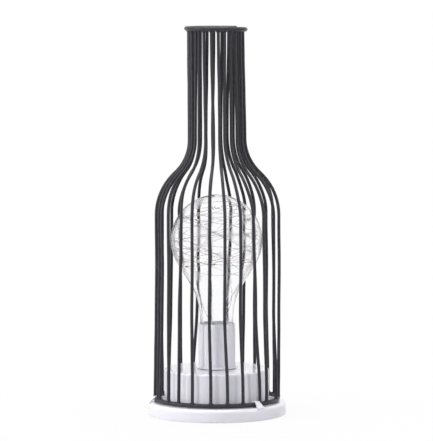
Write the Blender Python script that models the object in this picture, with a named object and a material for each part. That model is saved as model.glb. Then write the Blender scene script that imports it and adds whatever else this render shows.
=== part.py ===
"""Bottle-shaped wire table lamp: black wire cage, white battery base, clear bulb with a fairy string.

Metres, +Z up. The origin is at the middle of the underside, and the front faces -Y.
Every separate piece is an object of its own, and the two moving pieces have their origins on
their joints: the switch slider runs along X and the battery door swings about its tab end.
"""

import math

import bmesh
import bpy
from mathutils import Matrix, Vector

# General clearances
GAP = 0.0003
RUNNING_GAP = 0.0003

# Whole lamp
OVERALL_HEIGHT = 0.2547

# Wire cage
WIRE_COUNT = 24
WIRE_D = 0.0021
FIRST_WIRE_AZIMUTH = -90.0
BODY_R = 0.0402
SHOULDER_START_Z = 0.1315
SHOULDER_BEND_R = 0.0376
NECK_BEND_R = 0.0294
NECK_FOOT_R = 0.0182
NECK_TOP_R = 0.0177
RIM_OUTER_R = 0.0207
RIM_ROD_D = 0.0030
BASE_RING_ROD_D = 0.0030
WIRE_SIDE_COUNT = 8
THIN_WIRE_SIDE_COUNT = 6
BODY_STEPS = 3
BEND_STEPS = 8
NECK_STEPS = 2
RING_STEPS = 36
ROD_SIDES = 8

# How far each hand-set wire stands from its even place, in degrees: foot, middle of the body,
# shoulder's start, middle of the shoulder, neck's foot, rim
WIRE_SET = (
    (2.0, 2.2, 3.3, 5.2, 4.0, 3.8), (3.9, 3.4, 3.2, 3.2, 3.3, 3.7),
    (-5.6, -3.6, -4.9, -3.6, -1.2, -0.5), (-5.3, -7.5, -7.9, -10.6, -5.6, -1.0),
    (-7.5, -7.9, -5.6, -8.6, -9.8, -7.3), (-7.9, -9.5, -9.4, -10.4, -9.2, -10.6),
    (-5.5, -7.7, -7.5, -8.3, -7.3, -9.1), (-5.2, -8.6, -8.4, -9.3, -9.5, -9.7),
    (-5.3, -8.8, -8.6, -10.4, -14.5, -11.2), (-1.5, -7.7, -10.1, -12.6, -14.4, -13.0),
    (-7.0, -11.3, -12.6, -14.0, -14.1, -15.0), (-1.7, -10.7, -10.7, -11.5, -12.0, -11.4),
    (-3.5, -6.2, -6.7, -5.6, -5.4, -5.3), (5.5, 8.2, 10.4, 7.1, 5.6, 4.9),
    (3.1, 6.6, 7.0, 9.8, 6.7, 6.0), (6.6, 7.5, 7.7, 9.3, 8.8, 4.4),
    (5.0, 4.4, 2.8, 6.0, 8.5, 1.6), (2.5, 5.3, 2.1, 5.1, 6.9, 1.9),
    (4.5, 7.6, 7.8, 7.2, 9.5, 4.0), (8.8, 4.8, 3.4, 4.5, 8.5, 3.5),
    (6.5, 7.9, 9.6, 6.0, 6.3, 4.7), (7.3, 5.4, 4.6, 2.5, 8.3, 0.4),
    (3.0, 7.2, 5.4, 3.2, 2.7, -2.2), (1.0, 1.0, 1.0, 1.8, 3.1, 4.1),
)

# White base: disc and battery drum
BASE_D = 0.0913
DISC_HEIGHT = 0.0089
DISC_TOP_ROUND = 0.0022
DISC_FOOT_CHAMFER = 0.0008
DRUM_D = 0.0688
DRUM_HEIGHT = 0.0215
DRUM_ROUND = 0.0014
DRUM_FOOT_FILLET = 0.0008
HOUSING_WALL = 0.0020
FOOT_PROUD = 0.0005
LATHE_STEPS = 40
ARC_STEPS = 3

# Snap clips that hold the cage's base ring: the wire before each clip, and the share of the
# way from it to the next wire
CLIP_SEATS = ((8, 0.78), (16, 0.5), (0, 0.5))
CLIP_WIDTH = 0.0030
CLIP_FINGER_T = 0.0014
CLIP_NOSE_T = 0.0006
CLIP_SLOPE = 0.96
CLIP_TIP_REACH = 0.0034

# Bottom cover with its battery bay
COVER_T = 0.0026
COVER_RECESS = 0.0003
COVER_SCREW_AZIMUTHS = (0.0, 80.0, 180.0, 280.0)
COVER_SCREW_EDGE = 0.0048
SCREW_HEAD_D = 0.0044
SCREW_HEAD_T = 0.0008
SCREW_SHANK_D = 0.0022
SCREW_BOSS_D = 0.0056
COUNTERBORE_DEPTH = 0.0012
FOOT_AZIMUTHS = (35.0, 145.0, 215.0, 325.0)
FOOT_EDGE = 0.0058
FOOT_D = 0.0080
FOOT_SOCKET_DEPTH = 0.0011
FOOT_BEVEL = 0.0004

# Cells and bay
CELL_COUNT = 3
CELL_D = 0.0105
CELL_LENGTH = 0.0445
CELL_NUB_D = 0.0038
CELL_NUB_LENGTH = 0.0008
CELL_SPACING = 0.0007
CELL_EDGE = 0.0006
BAY_SIDE_GAP = 0.0004
BAY_WALL = 0.0012
SPRING_ROOM = 0.0042
FLAT_CONTACT_ROOM = 0.0010
CELL_REST = 0.0009
DOOR_T = 0.0011
DOOR_LEDGE_END = 0.0025
DOOR_LEDGE_SIDE = 0.0013
DOOR_TAB_WIDTH = 0.0050
DOOR_TAB_SPACING = 0.0210
DOOR_TAB_REACH = 0.0018
DOOR_TAB_T = 0.0005
DOOR_NOTCH_D = 0.0100
SPRING_WIRE_D = 0.0005
SPRING_BASE_R = 0.0033
SPRING_TIP_R = 0.0018
SPRING_TURNS = 3
SPRING_POINTS = 8
CONTACT_T = 0.0003
CONTACT_SIZE = 0.0080

# Slide switch on the underside
SWITCH_Y = -0.0265
SWITCH_TRAVEL = 0.0030
SWITCH_BODY = (0.0088, 0.0048, 0.0036)
SWITCH_WALL = 0.0006
SLIDER_STEM = (0.0022, 0.0020)
SLIDER_CARRIAGE = (0.0034, 0.0028, 0.0011)
SLIDER_INSET = 0.0002
FINGER_DISH = (0.0130, 0.0062, 0.0008)

# Circuit board and lead
BOARD_SIZE = (0.0220, 0.0070, 0.0012)
BOARD_Y = 0.0245
BOARD_POST = (0.0030, 0.0060, 0.0014)
BOARD_CHIP = (0.0050, 0.0040, 0.0015)
BOARD_CAPACITOR = (0.0030, 0.0030, 0.0026)
LEAD_D = 0.0016

# Lamp holder
HOLDER_D = 0.0245
HOLDER_HEIGHT = 0.0297
HOLDER_WALL = 0.00105
HOLDER_FLANGE_R = 0.0131
HOLDER_FLANGE_T = 0.0006
SOCKET_DEPTH = 0.0128
SOCKET_SHOULDER = 0.0032
SPIGOT_R = 0.0080
SPIGOT_WALL = 0.0016
SPIGOT_BARB = 0.0007
SPIGOT_SLIT = 0.0016

# Bulb
BULB_D = 0.0600
BULB_RISE = 0.0846
BULB_WALL = 0.0010
BULB_ARC_END = 30.0
BULB_TAPER_PULL = 0.0180
BULB_NECK_PULL = 0.0200
BULB_STEPS = 30
PLUG_T = 0.0046
PLUG_HOLE_D = 0.0026

# Fairy string in the bulb: one wire with swellings where its lamps sit
STRING_D = 0.0005
STRING_LOOPS = 12
STRING_LOOP_POINTS = 24
STRING_LOW = -0.0145
STRING_HIGH = 0.0245
STRING_FIT = 0.93
STRING_TILT = 0.0032
STRING_TILT_DRIFT = 24.0
STRING_PUCKER = 0.05
STRING_CLEARANCE = 0.0016
BEAD_COUNT = 10
BEAD_D = 0.0018
BEAD_LENGTH = 0.0030

# Colours: red, green, blue, roughness, metallic
FINISHES = {
    "black_paint": (0.030, 0.030, 0.034, 0.42, 0.0),
    "white_plastic": (0.86, 0.86, 0.89, 0.25, 0.0),
    "clear_shell": (0.93, 0.95, 0.96, 0.05, 0.0),
    "string_wire": (0.62, 0.50, 0.42, 0.35, 1.0),
    "cell_jacket": (0.55, 0.57, 0.60, 0.40, 0.3),
    "nickel": (0.70, 0.69, 0.66, 0.30, 1.0),
    "zinc_steel": (0.60, 0.60, 0.62, 0.35, 1.0),
    "rubber": (0.08, 0.08, 0.08, 0.80, 0.0),
    "board_green": (0.05, 0.25, 0.12, 0.50, 0.0),
    "lead_jacket": (0.80, 0.80, 0.80, 0.50, 0.0),
}

# Levels and radii worked out from the sizes above
HOUSING_FOOT_Z = FOOT_PROUD
DISC_TOP_Z = DISC_HEIGHT
DRUM_TOP_Z = DISC_TOP_Z + DRUM_HEIGHT
HOLDER_TOP_Z = DRUM_TOP_Z + HOLDER_HEIGHT
BULB_TOP_Z = HOLDER_TOP_Z + BULB_RISE
DISC_R = BASE_D / 2
DRUM_R = DRUM_D / 2
HOUSING_INNER_R = DISC_R - HOUSING_WALL
DRUM_INNER_R = DRUM_R - HOUSING_WALL
DISC_ROOF_Z = DISC_TOP_Z - HOUSING_WALL
DRUM_ROOF_Z = DRUM_TOP_Z - HOUSING_WALL
COVER_R = HOUSING_INNER_R - GAP
COVER_SCREW_R = COVER_R - COVER_SCREW_EDGE
FOOT_R = COVER_R - FOOT_EDGE
COVER_Z0 = HOUSING_FOOT_Z + COVER_RECESS
COVER_Z1 = COVER_Z0 + COVER_T
CELL_PITCH = CELL_D + CELL_SPACING
BAY_HALF_Y = (CELL_COUNT * CELL_D + (CELL_COUNT - 1) * CELL_SPACING) / 2 + BAY_SIDE_GAP
BAY_HALF_X = (CELL_LENGTH + CELL_NUB_LENGTH + SPRING_ROOM + FLAT_CONTACT_ROOM) / 2
DOOR_TOP_Z = COVER_Z0 + DOOR_T
CELL_AXIS_Z = DOOR_TOP_Z + CELL_REST + CELL_D / 2
BAY_ROOF_Z = CELL_AXIS_Z + CELL_D / 2 + GAP
BAY_TOP_Z = BAY_ROOF_Z + BAY_WALL
DOOR_HALF_X = BAY_HALF_X + DOOR_LEDGE_END - RUNNING_GAP
DOOR_HALF_Y = BAY_HALF_Y + DOOR_LEDGE_SIDE - RUNNING_GAP
BASE_RING_Z = DISC_TOP_Z + GAP + BASE_RING_ROD_D / 2
WIRE_FOOT_Z = BASE_RING_Z + BASE_RING_ROD_D / 2 + GAP
RIM_R = RIM_OUTER_R - RIM_ROD_D / 2
RIM_Z = OVERALL_HEIGHT - RIM_ROD_D / 2
BEND_ANGLE = math.acos(1 - (BODY_R - NECK_FOOT_R) / (SHOULDER_BEND_R + NECK_BEND_R))
NECK_FOOT_Z = SHOULDER_START_Z + (SHOULDER_BEND_R + NECK_BEND_R) * math.sin(BEND_ANGLE)
HOLDER_R = HOLDER_D / 2
SOCKET_R = HOLDER_R - HOLDER_WALL
SOCKET_FLOOR_Z = HOLDER_TOP_Z - SOCKET_DEPTH
HOLDER_BORE_R = SOCKET_R - SOCKET_SHOULDER
HOLDER_FOOT_Z = DRUM_TOP_Z + GAP
BULB_R = BULB_D / 2
BULB_CENTRE_Z = BULB_TOP_Z - BULB_R
BULB_NECK_R = SOCKET_R - GAP
BULB_FOOT_Z = SOCKET_FLOOR_Z + GAP


def wire_top_z():
    """Return the height where a wire's outer edge ends, just under the rim rod."""
    edge_r = NECK_TOP_R + WIRE_D / 2
    across = min(abs(RIM_R - edge_r), RIM_ROD_D / 2)
    drop = math.sqrt((RIM_ROD_D / 2) ** 2 - across ** 2)
    return RIM_Z - drop - GAP


def clear_scene():
    """Remove every object that the scene starts with."""
    for obj in list(bpy.data.objects):
        bpy.data.objects.remove(obj, do_unlink=True)


def finish(name):
    """Return the named material, made on first use."""
    mat = bpy.data.materials.get(name)
    if mat is None:
        red, green, blue, roughness, metallic = FINISHES[name]
        mat = bpy.data.materials.new(name)
        mat.use_nodes = True
        shader = mat.node_tree.nodes["Principled BSDF"]
        shader.inputs["Base Color"].default_value = (red, green, blue, 1.0)
        shader.inputs["Roughness"].default_value = roughness
        shader.inputs["Metallic"].default_value = metallic
        mat.diffuse_color = (red, green, blue, 1.0)
    return mat


def own_finish(name, piece):
    """Return a copy of a material for one piece, so that each piece has its own."""
    mat = finish(name).copy()
    mat.name = piece + "_finish"
    return mat


def add_object(name, data, material_name):
    """Link a mesh or curve as a named object with its own material."""
    obj = bpy.data.objects.new(name, data)
    bpy.context.scene.collection.objects.link(obj)
    if material_name:
        data.materials.append(own_finish(material_name, name))
    return obj


def smooth(mesh, angle=35.0):
    """Shade a mesh smooth, with sharp edges above an angle in degrees."""
    mesh.shade_smooth()
    mesh.set_sharp_from_angle(angle=math.radians(angle))


def mesh_object(name, bm, material_name):
    """Turn a bmesh into a named object with its faces pointing out."""
    bmesh.ops.recalc_face_normals(bm, faces=bm.faces)
    mesh = bpy.data.meshes.new(name)
    bm.to_mesh(mesh)
    bm.free()
    smooth(mesh)
    return add_object(name, mesh, material_name)


def arc(centre_r, centre_z, radius, start, end, steps=ARC_STEPS):
    """Return (r, z) points along an arc, with angles in degrees from +r towards +z."""
    points = []
    for step in range(steps + 1):
        angle = math.radians(start + (end - start) * step / steps)
        points.append((centre_r + radius * math.cos(angle), centre_z + radius * math.sin(angle)))
    return points


def turned(name, profile, material_name, steps=LATHE_STEPS, closed=True):
    """Spin an (r, z) profile round the Z axis into a closed solid."""
    bm = bmesh.new()
    verts = [bm.verts.new((r, 0.0, z)) for r, z in profile]
    pairs = list(zip(verts, verts[1:]))
    if closed:
        pairs.append((verts[-1], verts[0]))
    edges = [bm.edges.new(pair) for pair in pairs]
    bmesh.ops.spin(bm, geom=verts + edges, cent=(0, 0, 0), axis=(0, 0, 1), dvec=(0, 0, 0),
                   angle=2 * math.pi, steps=steps, use_merge=True)
    bmesh.ops.remove_doubles(bm, verts=bm.verts, dist=1e-7)
    return mesh_object(name, bm, material_name)


def prism(bm, outline, low, high):
    """Add a straight prism over an (x, y) outline, from one height to another."""
    face = bm.faces.new([bm.verts.new((x, y, low)) for x, y in outline])
    top = bmesh.ops.extrude_face_region(bm, geom=[face])["geom"]
    rise = [item for item in top if isinstance(item, bmesh.types.BMVert)]
    bmesh.ops.translate(bm, verts=rise, vec=(0, 0, high - low))


def cross_prism(bm, outline, low, high):
    """Add a straight prism over an (x, z) outline, from one y to another."""
    face = bm.faces.new([bm.verts.new((x, low, z)) for x, z in outline])
    far = bmesh.ops.extrude_face_region(bm, geom=[face])["geom"]
    push = [item for item in far if isinstance(item, bmesh.types.BMVert)]
    bmesh.ops.translate(bm, verts=push, vec=(0, high - low, 0))


def rectangle(x0, x1, y0, y1):
    """Return the corners of a rectangle."""
    return [(x0, y0), (x1, y0), (x1, y1), (x0, y1)]


def circle(x, y, radius, steps=20):
    """Return points round a circle."""
    turn = 2 * math.pi / steps
    return [(x + radius * math.cos(i * turn), y + radius * math.sin(i * turn)) for i in range(steps)]


def rounded_rectangle(half_x, half_y, radius, steps=3):
    """Return a rectangle round the origin with rounded corners."""
    points = []
    corners = ((1, 1, 0), (-1, 1, 90), (-1, -1, 180), (1, -1, 270))
    for side_x, side_y, start in corners:
        centre = (side_x * (half_x - radius), side_y * (half_y - radius))
        points.extend(arc(centre[0], centre[1], radius, start, start + 90, steps))
    return points


def block(name, outline, low, high, material_name):
    """Make one prism as an object of its own."""
    bm = bmesh.new()
    prism(bm, outline, low, high)
    return mesh_object(name, bm, material_name)


def combine(target, tool, operation):
    """Join or cut a solid with a helper solid, which stays as a hidden guide."""
    tool.hide_render = True
    tool.display_type = "WIRE"
    modifier = target.modifiers.new(tool.name, "BOOLEAN")
    modifier.operation = operation
    modifier.solver = "EXACT"
    modifier.object = tool


def tube(name, points, diameter, material_name, sides=WIRE_SIDE_COUNT, swell=None):
    """Make a round wire along points, with closed ends and an optional radius factor each."""
    curve = bpy.data.curves.new(name, "CURVE")
    curve.dimensions = "3D"
    curve.bevel_depth = diameter / 2
    curve.bevel_resolution = (sides - 4) // 2
    curve.render_resolution_u = 0
    curve.use_fill_caps = True
    spline = curve.splines.new("POLY")
    spline.points.add(len(points) - 1)
    for index, point in enumerate(points):
        spline.points[index].co = (point[0], point[1], point[2], 1.0)
        spline.points[index].radius = swell[index] if swell else 1.0
    spline.use_smooth = True
    return add_object(name, curve, material_name)


def on_circle(radius, azimuth, z):
    """Return a point at an azimuth in degrees, 0 towards the front and + to the right."""
    angle = math.radians(azimuth)
    return Vector((radius * math.sin(angle), -radius * math.cos(angle), z))


def cage_levels():
    """Return the (z, radius) pairs of a wire's centre line, from its foot to its top."""
    levels = []
    for step in range(BODY_STEPS):
        share = step / BODY_STEPS
        levels.append((WIRE_FOOT_Z + (SHOULDER_START_Z - WIRE_FOOT_Z) * share, BODY_R))
    bend = SHOULDER_BEND_R + NECK_BEND_R
    for step in range(BEND_STEPS + 1):
        along = 2.0 * step / BEND_STEPS
        if along <= 1.0:
            angle = BEND_ANGLE * along
            z = SHOULDER_START_Z + SHOULDER_BEND_R * math.sin(angle)
            radius = BODY_R - SHOULDER_BEND_R * (1 - math.cos(angle))
        else:
            angle = BEND_ANGLE * (2.0 - along)
            z = SHOULDER_START_Z + bend * math.sin(BEND_ANGLE) - NECK_BEND_R * math.sin(angle)
            radius = NECK_FOOT_R + NECK_BEND_R * (1 - math.cos(angle))
        levels.append((z, radius))
    top = wire_top_z()
    for step in range(1, NECK_STEPS + 1):
        share = step / NECK_STEPS
        levels.append((NECK_FOOT_Z + (top - NECK_FOOT_Z) * share,
                       NECK_FOOT_R + (NECK_TOP_R - NECK_FOOT_R) * share))
    return levels


def wire_azimuth(index, z):
    """Return a wire's azimuth at a height, eased between its six set places."""
    even = FIRST_WIRE_AZIMUTH + index * 360.0 / WIRE_COUNT
    offsets = WIRE_SET[index % len(WIRE_SET)]
    places = (WIRE_FOOT_Z, (WIRE_FOOT_Z + SHOULDER_START_Z) / 2, SHOULDER_START_Z,
              (SHOULDER_START_Z + NECK_FOOT_Z) / 2, NECK_FOOT_Z, wire_top_z())
    if z <= places[0]:
        return even + offsets[0]
    for low, high, start, end in zip(places, places[1:], offsets, offsets[1:]):
        if z <= high:
            share = (z - low) / (high - low)
            eased = share * share * (3 - 2 * share)
            return even + start + (end - start) * eased
    return even + offsets[-1]


def build_cage():
    """Make the two rods and the wires that run from one to the other."""
    section = circle(0.0, 0.0, 1.0, ROD_SIDES)
    rim = [(RIM_R + x * RIM_ROD_D / 2, RIM_Z + y * RIM_ROD_D / 2) for x, y in section]
    turned("cage_rim_ring", rim, "black_paint", RING_STEPS)
    foot = [(BODY_R + x * BASE_RING_ROD_D / 2, BASE_RING_Z + y * BASE_RING_ROD_D / 2)
            for x, y in section]
    turned("cage_base_ring", foot, "black_paint", RING_STEPS)
    levels = cage_levels()
    for index in range(WIRE_COUNT):
        points = [on_circle(radius, wire_azimuth(index, z), z) for z, radius in levels]
        tube(f"cage_wire_{index + 1:02d}", points, WIRE_D, "black_paint")


def clip_azimuth(wire, share):
    """Return the azimuth of a clip between the feet of two neighbouring wires."""
    start = wire_azimuth(wire, WIRE_FOOT_Z)
    end = wire_azimuth(wire + 1, WIRE_FOOT_Z)
    return start + (end - start) * share


def clip_profile():
    """Return the (r, z) outline of a snap clip that reaches over the base ring."""
    ring_r = BASE_RING_ROD_D / 2 + GAP
    finger_out = BODY_R - ring_r
    finger_in = finger_out - CLIP_FINGER_T
    lean = math.sqrt(1 + CLIP_SLOPE ** 2)
    crest = BASE_RING_Z + (ring_r + CLIP_NOSE_T) * lean
    root_z = DISC_TOP_Z - HOUSING_WALL / 2
    top_z = BASE_RING_Z + ring_r + CLIP_NOSE_T
    brow_r = BODY_R + (crest - top_z) / CLIP_SLOPE
    tip_r = BODY_R + ring_r + CLIP_TIP_REACH
    tip_z = crest - CLIP_SLOPE * (tip_r - BODY_R)
    hollow = arc(BODY_R, BASE_RING_Z, ring_r, 0, 180, 5)
    outline = [(finger_in, root_z), (finger_out, root_z), (finger_out, BASE_RING_Z)]
    outline += list(reversed(hollow[:-1]))
    outline += [(tip_r, tip_z - CLIP_NOSE_T), (tip_r, tip_z), (brow_r, top_z), (finger_in, top_z)]
    return outline


def build_clip(name, azimuth):
    """Make one clip as a helper solid at an azimuth."""
    bm = bmesh.new()
    cross_prism(bm, clip_profile(), -CLIP_WIDTH / 2, CLIP_WIDTH / 2)
    turn = Matrix.Rotation(math.radians(azimuth - 90), 4, "Z")
    bmesh.ops.transform(bm, matrix=turn, verts=bm.verts)
    return mesh_object(name, bm, None)


def housing_profile():
    """Return the outline of the base shell, which is open below and holed at the top."""
    outline = [(DISC_R - DISC_FOOT_CHAMFER, HOUSING_FOOT_Z), (DISC_R, HOUSING_FOOT_Z + DISC_FOOT_CHAMFER)]
    outline += arc(DISC_R - DISC_TOP_ROUND, DISC_TOP_Z - DISC_TOP_ROUND, DISC_TOP_ROUND, 0, 90)
    outline += reversed(arc(DRUM_R + DRUM_FOOT_FILLET, DISC_TOP_Z + DRUM_FOOT_FILLET,
                            DRUM_FOOT_FILLET, 180, 270, 2))
    outline += arc(DRUM_R - DRUM_ROUND, DRUM_TOP_Z - DRUM_ROUND, DRUM_ROUND, 0, 90)
    hole_r = SPIGOT_R + GAP
    outline += [(hole_r, DRUM_TOP_Z), (hole_r, DRUM_ROOF_Z)]
    inner_round = max(DRUM_ROUND - HOUSING_WALL, HOUSING_WALL / 4)
    outline += [(DRUM_INNER_R - inner_round, DRUM_ROOF_Z), (DRUM_INNER_R, DRUM_ROOF_Z - inner_round)]
    outline += [(DRUM_INNER_R, DISC_ROOF_Z), (HOUSING_INNER_R - inner_round, DISC_ROOF_Z)]
    outline += [(HOUSING_INNER_R, DISC_ROOF_Z - inner_round), (HOUSING_INNER_R, HOUSING_FOOT_Z)]
    return outline


def cover_screw_places():
    """Return the (x, y) places of the cover's screws."""
    return [on_circle(COVER_SCREW_R, azimuth, 0).xy for azimuth in COVER_SCREW_AZIMUTHS]


def foot_places():
    """Return the (x, y) places of the rubber feet."""
    return [on_circle(FOOT_R, azimuth, 0).xy for azimuth in FOOT_AZIMUTHS]


def build_housing():
    """Make the white base shell with its clips and screw bosses."""
    housing = turned("base_housing", housing_profile(), "white_plastic")
    for number, (wire, share) in enumerate(CLIP_SEATS, 1):
        combine(housing, build_clip(f"clip_guide_{number}", clip_azimuth(wire, share)), "UNION")
    bosses = bmesh.new()
    bores = bmesh.new()
    bore_r = SCREW_SHANK_D / 2 + GAP
    for x, y in cover_screw_places():
        prism(bosses, circle(x, y, SCREW_BOSS_D / 2, 16), COVER_Z1 + GAP, DISC_ROOF_Z + HOUSING_WALL / 2)
        prism(bores, circle(x, y, bore_r, 12), COVER_Z0, DISC_ROOF_Z + GAP)
    combine(housing, mesh_object("boss_guide", bosses, None), "UNION")
    combine(housing, mesh_object("boss_bore_guide", bores, None), "DIFFERENCE")


def door_tab_places():
    """Return the middles of the door's tabs along Y."""
    return (-DOOR_TAB_SPACING / 2, DOOR_TAB_SPACING / 2)


def cover_cuts():
    """Make the helper solid of all that is cut from the bottom cover."""
    cuts = bmesh.new()
    prism(cuts, rectangle(-BAY_HALF_X, BAY_HALF_X, -BAY_HALF_Y, BAY_HALF_Y), COVER_Z0 - GAP, BAY_ROOF_Z)
    return mesh_object("bay_cut_guide", cuts, None)


def build_cover():
    """Make the bottom cover: plate, battery box, door recess, sockets and slots."""
    plate = block("bottom_cover", circle(0, 0, COVER_R, LATHE_STEPS), COVER_Z0, COVER_Z1, "white_plastic")
    box_x = BAY_HALF_X + BAY_WALL
    box_y = BAY_HALF_Y + BAY_WALL
    joined = bmesh.new()
    prism(joined, rounded_rectangle(box_x, box_y, 2.5 * BAY_WALL), COVER_Z1 - GAP, BAY_TOP_Z)
    post_x = (BOARD_SIZE[0] - BOARD_POST[0]) / 2
    for side in (-1, 1):
        middle = side * post_x
        prism(joined, rectangle(middle - BOARD_POST[0] / 2, middle + BOARD_POST[0] / 2,
                                BOARD_Y - BOARD_POST[1] / 2, BOARD_Y + BOARD_POST[1] / 2),
              COVER_Z1 - GAP, COVER_Z1 + BOARD_POST[2])
    combine(plate, mesh_object("box_guide", joined, None), "UNION")
    combine(plate, cover_cuts(), "DIFFERENCE")

    recess = bmesh.new()
    reach_x = DOOR_HALF_X + RUNNING_GAP
    reach_y = DOOR_HALF_Y + RUNNING_GAP
    prism(recess, rectangle(-reach_x, reach_x, -reach_y, reach_y), COVER_Z0 - GAP, DOOR_TOP_Z + GAP)
    notch = circle(reach_x, 0, DOOR_NOTCH_D / 2, 16)
    combine(plate, mesh_object("door_recess_guide", recess, None), "DIFFERENCE")
    combine(plate, block("notch_guide", notch, COVER_Z0 - GAP, COVER_Z0 + DOOR_T / 2, None), "DIFFERENCE")

    holes = bmesh.new()
    wells = bmesh.new()
    for x, y in cover_screw_places():
        prism(holes, circle(x, y, SCREW_SHANK_D / 2 + GAP, 12), COVER_Z0 - GAP, COVER_Z1 + GAP)
        prism(wells, circle(x, y, SCREW_HEAD_D / 2 + GAP, 16), COVER_Z0 - GAP, COVER_Z0 + COUNTERBORE_DEPTH)
    for x, y in foot_places():
        prism(wells, circle(x, y, FOOT_D / 2 + GAP, 24), COVER_Z0 - GAP, COVER_Z0 + FOOT_SOCKET_DEPTH)
    prism(wells, rectangle(-FINGER_DISH[0] / 2, FINGER_DISH[0] / 2, SWITCH_Y - FINGER_DISH[1] / 2,
                           SWITCH_Y + FINGER_DISH[1] / 2), COVER_Z0 - GAP, COVER_Z0 + FINGER_DISH[2])
    slot_x = SLIDER_STEM[0] / 2 + SWITCH_TRAVEL / 2 + RUNNING_GAP
    slot_y = SLIDER_STEM[1] / 2 + RUNNING_GAP
    prism(holes, rectangle(-slot_x, slot_x, SWITCH_Y - slot_y, SWITCH_Y + slot_y),
          COVER_Z0 - GAP, COVER_Z1 + GAP)
    tab_half = DOOR_TAB_WIDTH / 2 + RUNNING_GAP
    tab_out = DOOR_HALF_X + DOOR_TAB_REACH + RUNNING_GAP
    for middle in door_tab_places():
        prism(holes, rectangle(-tab_out, GAP - BAY_HALF_X, middle - tab_half, middle + tab_half),
              DOOR_TOP_Z, COVER_Z1 + GAP)
    combine(plate, mesh_object("well_guide", wells, None), "DIFFERENCE")
    combine(plate, mesh_object("hole_guide", holes, None), "DIFFERENCE")


def build_cover_screws():
    """Make the pan-head screws that hold the cover."""
    head_top = COVER_Z0 + COUNTERBORE_DEPTH - GAP
    shank_top = DISC_ROOF_Z - GAP
    shank_r = SCREW_SHANK_D / 2
    head_r = SCREW_HEAD_D / 2
    profile = [(0, head_top - SCREW_HEAD_T), (head_r * 0.8, head_top - SCREW_HEAD_T),
               (head_r, head_top - SCREW_HEAD_T * 0.7), (head_r, head_top), (shank_r, head_top),
               (shank_r, shank_top - shank_r), (0, shank_top)]
    for number, (x, y) in enumerate(cover_screw_places(), 1):
        screw = turned(f"cover_screw_{number}", profile, "zinc_steel", 12, closed=False)
        screw.location = (x, y, 0)


def build_feet():
    """Make the rubber feet, which the lamp stands on."""
    top = COVER_Z0 + FOOT_SOCKET_DEPTH - GAP
    radius = FOOT_D / 2
    profile = [(0, 0), (radius - FOOT_BEVEL, 0), (radius, FOOT_BEVEL), (radius, top), (0, top)]
    for number, (x, y) in enumerate(foot_places(), 1):
        foot = turned(f"rubber_foot_{number}", profile, "rubber", 20, closed=False)
        foot.location = (x, y, 0)


def build_door():
    """Make the battery door, with its origin on the tab end's lower edge."""
    pivot = Vector((-DOOR_HALF_X, 0.0, COVER_Z0))
    door = block("battery_door", rectangle(0, 2 * DOOR_HALF_X, -DOOR_HALF_Y, DOOR_HALF_Y), 0, DOOR_T,
                 "white_plastic")
    door.location = pivot
    tabs = bmesh.new()
    step_z = DOOR_T + RUNNING_GAP
    tab_z = step_z + DOOR_TAB_T
    riser = (DOOR_LEDGE_END - BAY_WALL / 2 - 2 * RUNNING_GAP) * 0.6
    hook = [(GAP, DOOR_T / 2), (riser, DOOR_T / 2), (riser, tab_z), (-DOOR_TAB_REACH, tab_z),
            (-DOOR_TAB_REACH, step_z), (GAP, step_z)]
    for middle in door_tab_places():
        cross_prism(tabs, hook, middle - DOOR_TAB_WIDTH / 2, middle + DOOR_TAB_WIDTH / 2)
    guide = mesh_object("door_tab_guide", tabs, None)
    guide.location = pivot
    combine(door, guide, "UNION")
    ribs = bmesh.new()
    for side in (-1, 1):
        middle = side * CELL_PITCH / 2
        prism(ribs, rectangle(DOOR_LEDGE_END + 2 * GAP, 2 * DOOR_HALF_X - DOOR_LEDGE_END - 2 * GAP,
                              middle - DOOR_T / 2, middle + DOOR_T / 2), DOOR_T / 2, DOOR_T + CELL_REST)
    rib_guide = mesh_object("door_rib_guide", ribs, None)
    rib_guide.location = pivot
    combine(door, rib_guide, "UNION")
    notch_ring = circle(2 * DOOR_HALF_X, 0, DOOR_NOTCH_D / 2, 16)
    notch = block("door_notch_guide", notch_ring, -GAP, DOOR_T / 2, None)
    notch.location = pivot
    combine(door, notch, "DIFFERENCE")


def cell_places():
    """Return each cell's y place and which way its raised end points."""
    places = []
    for index in range(CELL_COUNT):
        y = (index - (CELL_COUNT - 1) / 2) * CELL_PITCH
        places.append((y, 1 if index % 2 == 0 else -1))
    return places


def lay_down(obj, x, y, way):
    """Turn a piece made along +Z so that it lies along X in the battery bay."""
    obj.location = (x, y, CELL_AXIS_Z)
    obj.rotation_euler = (0, math.radians(90 * way), 0)


def build_cells():
    """Make the three dry cells and their contacts."""
    radius = CELL_D / 2
    nub = CELL_NUB_D / 2
    jacket = [(0, 0), (radius - CELL_EDGE, 0), (radius, CELL_EDGE), (radius, CELL_LENGTH - CELL_EDGE),
              (radius - CELL_EDGE, CELL_LENGTH), (nub, CELL_LENGTH), (nub, CELL_LENGTH + CELL_NUB_LENGTH),
              (0, CELL_LENGTH + CELL_NUB_LENGTH)]
    for number, (y, way) in enumerate(cell_places(), 1):
        cell = turned(f"cell_{number}", jacket, "cell_jacket", 16, closed=False)
        start = -way * (BAY_HALF_X - SPRING_ROOM)
        lay_down(cell, start, y, way)
        build_spring(number, y, way)
        build_flat_contact(number, y, way)


def build_spring(number, y, way):
    """Make one conical spring between the bay's wall and the cell's flat end."""
    points = []
    total = SPRING_TURNS * SPRING_POINTS
    wire_r = SPRING_WIRE_D / 2
    length = SPRING_ROOM - 2 * GAP - 2 * wire_r
    for step in range(total + 1):
        share = step / total
        angle = 2 * math.pi * step / SPRING_POINTS
        radius = SPRING_BASE_R + (SPRING_TIP_R - SPRING_BASE_R) * share
        points.append((radius * math.cos(angle), radius * math.sin(angle),
                       GAP + wire_r + length * share))
    spring = tube(f"contact_spring_{number}", points, SPRING_WIRE_D, "nickel", THIN_WIRE_SIDE_COUNT)
    lay_down(spring, -way * BAY_HALF_X, y, way)


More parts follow.
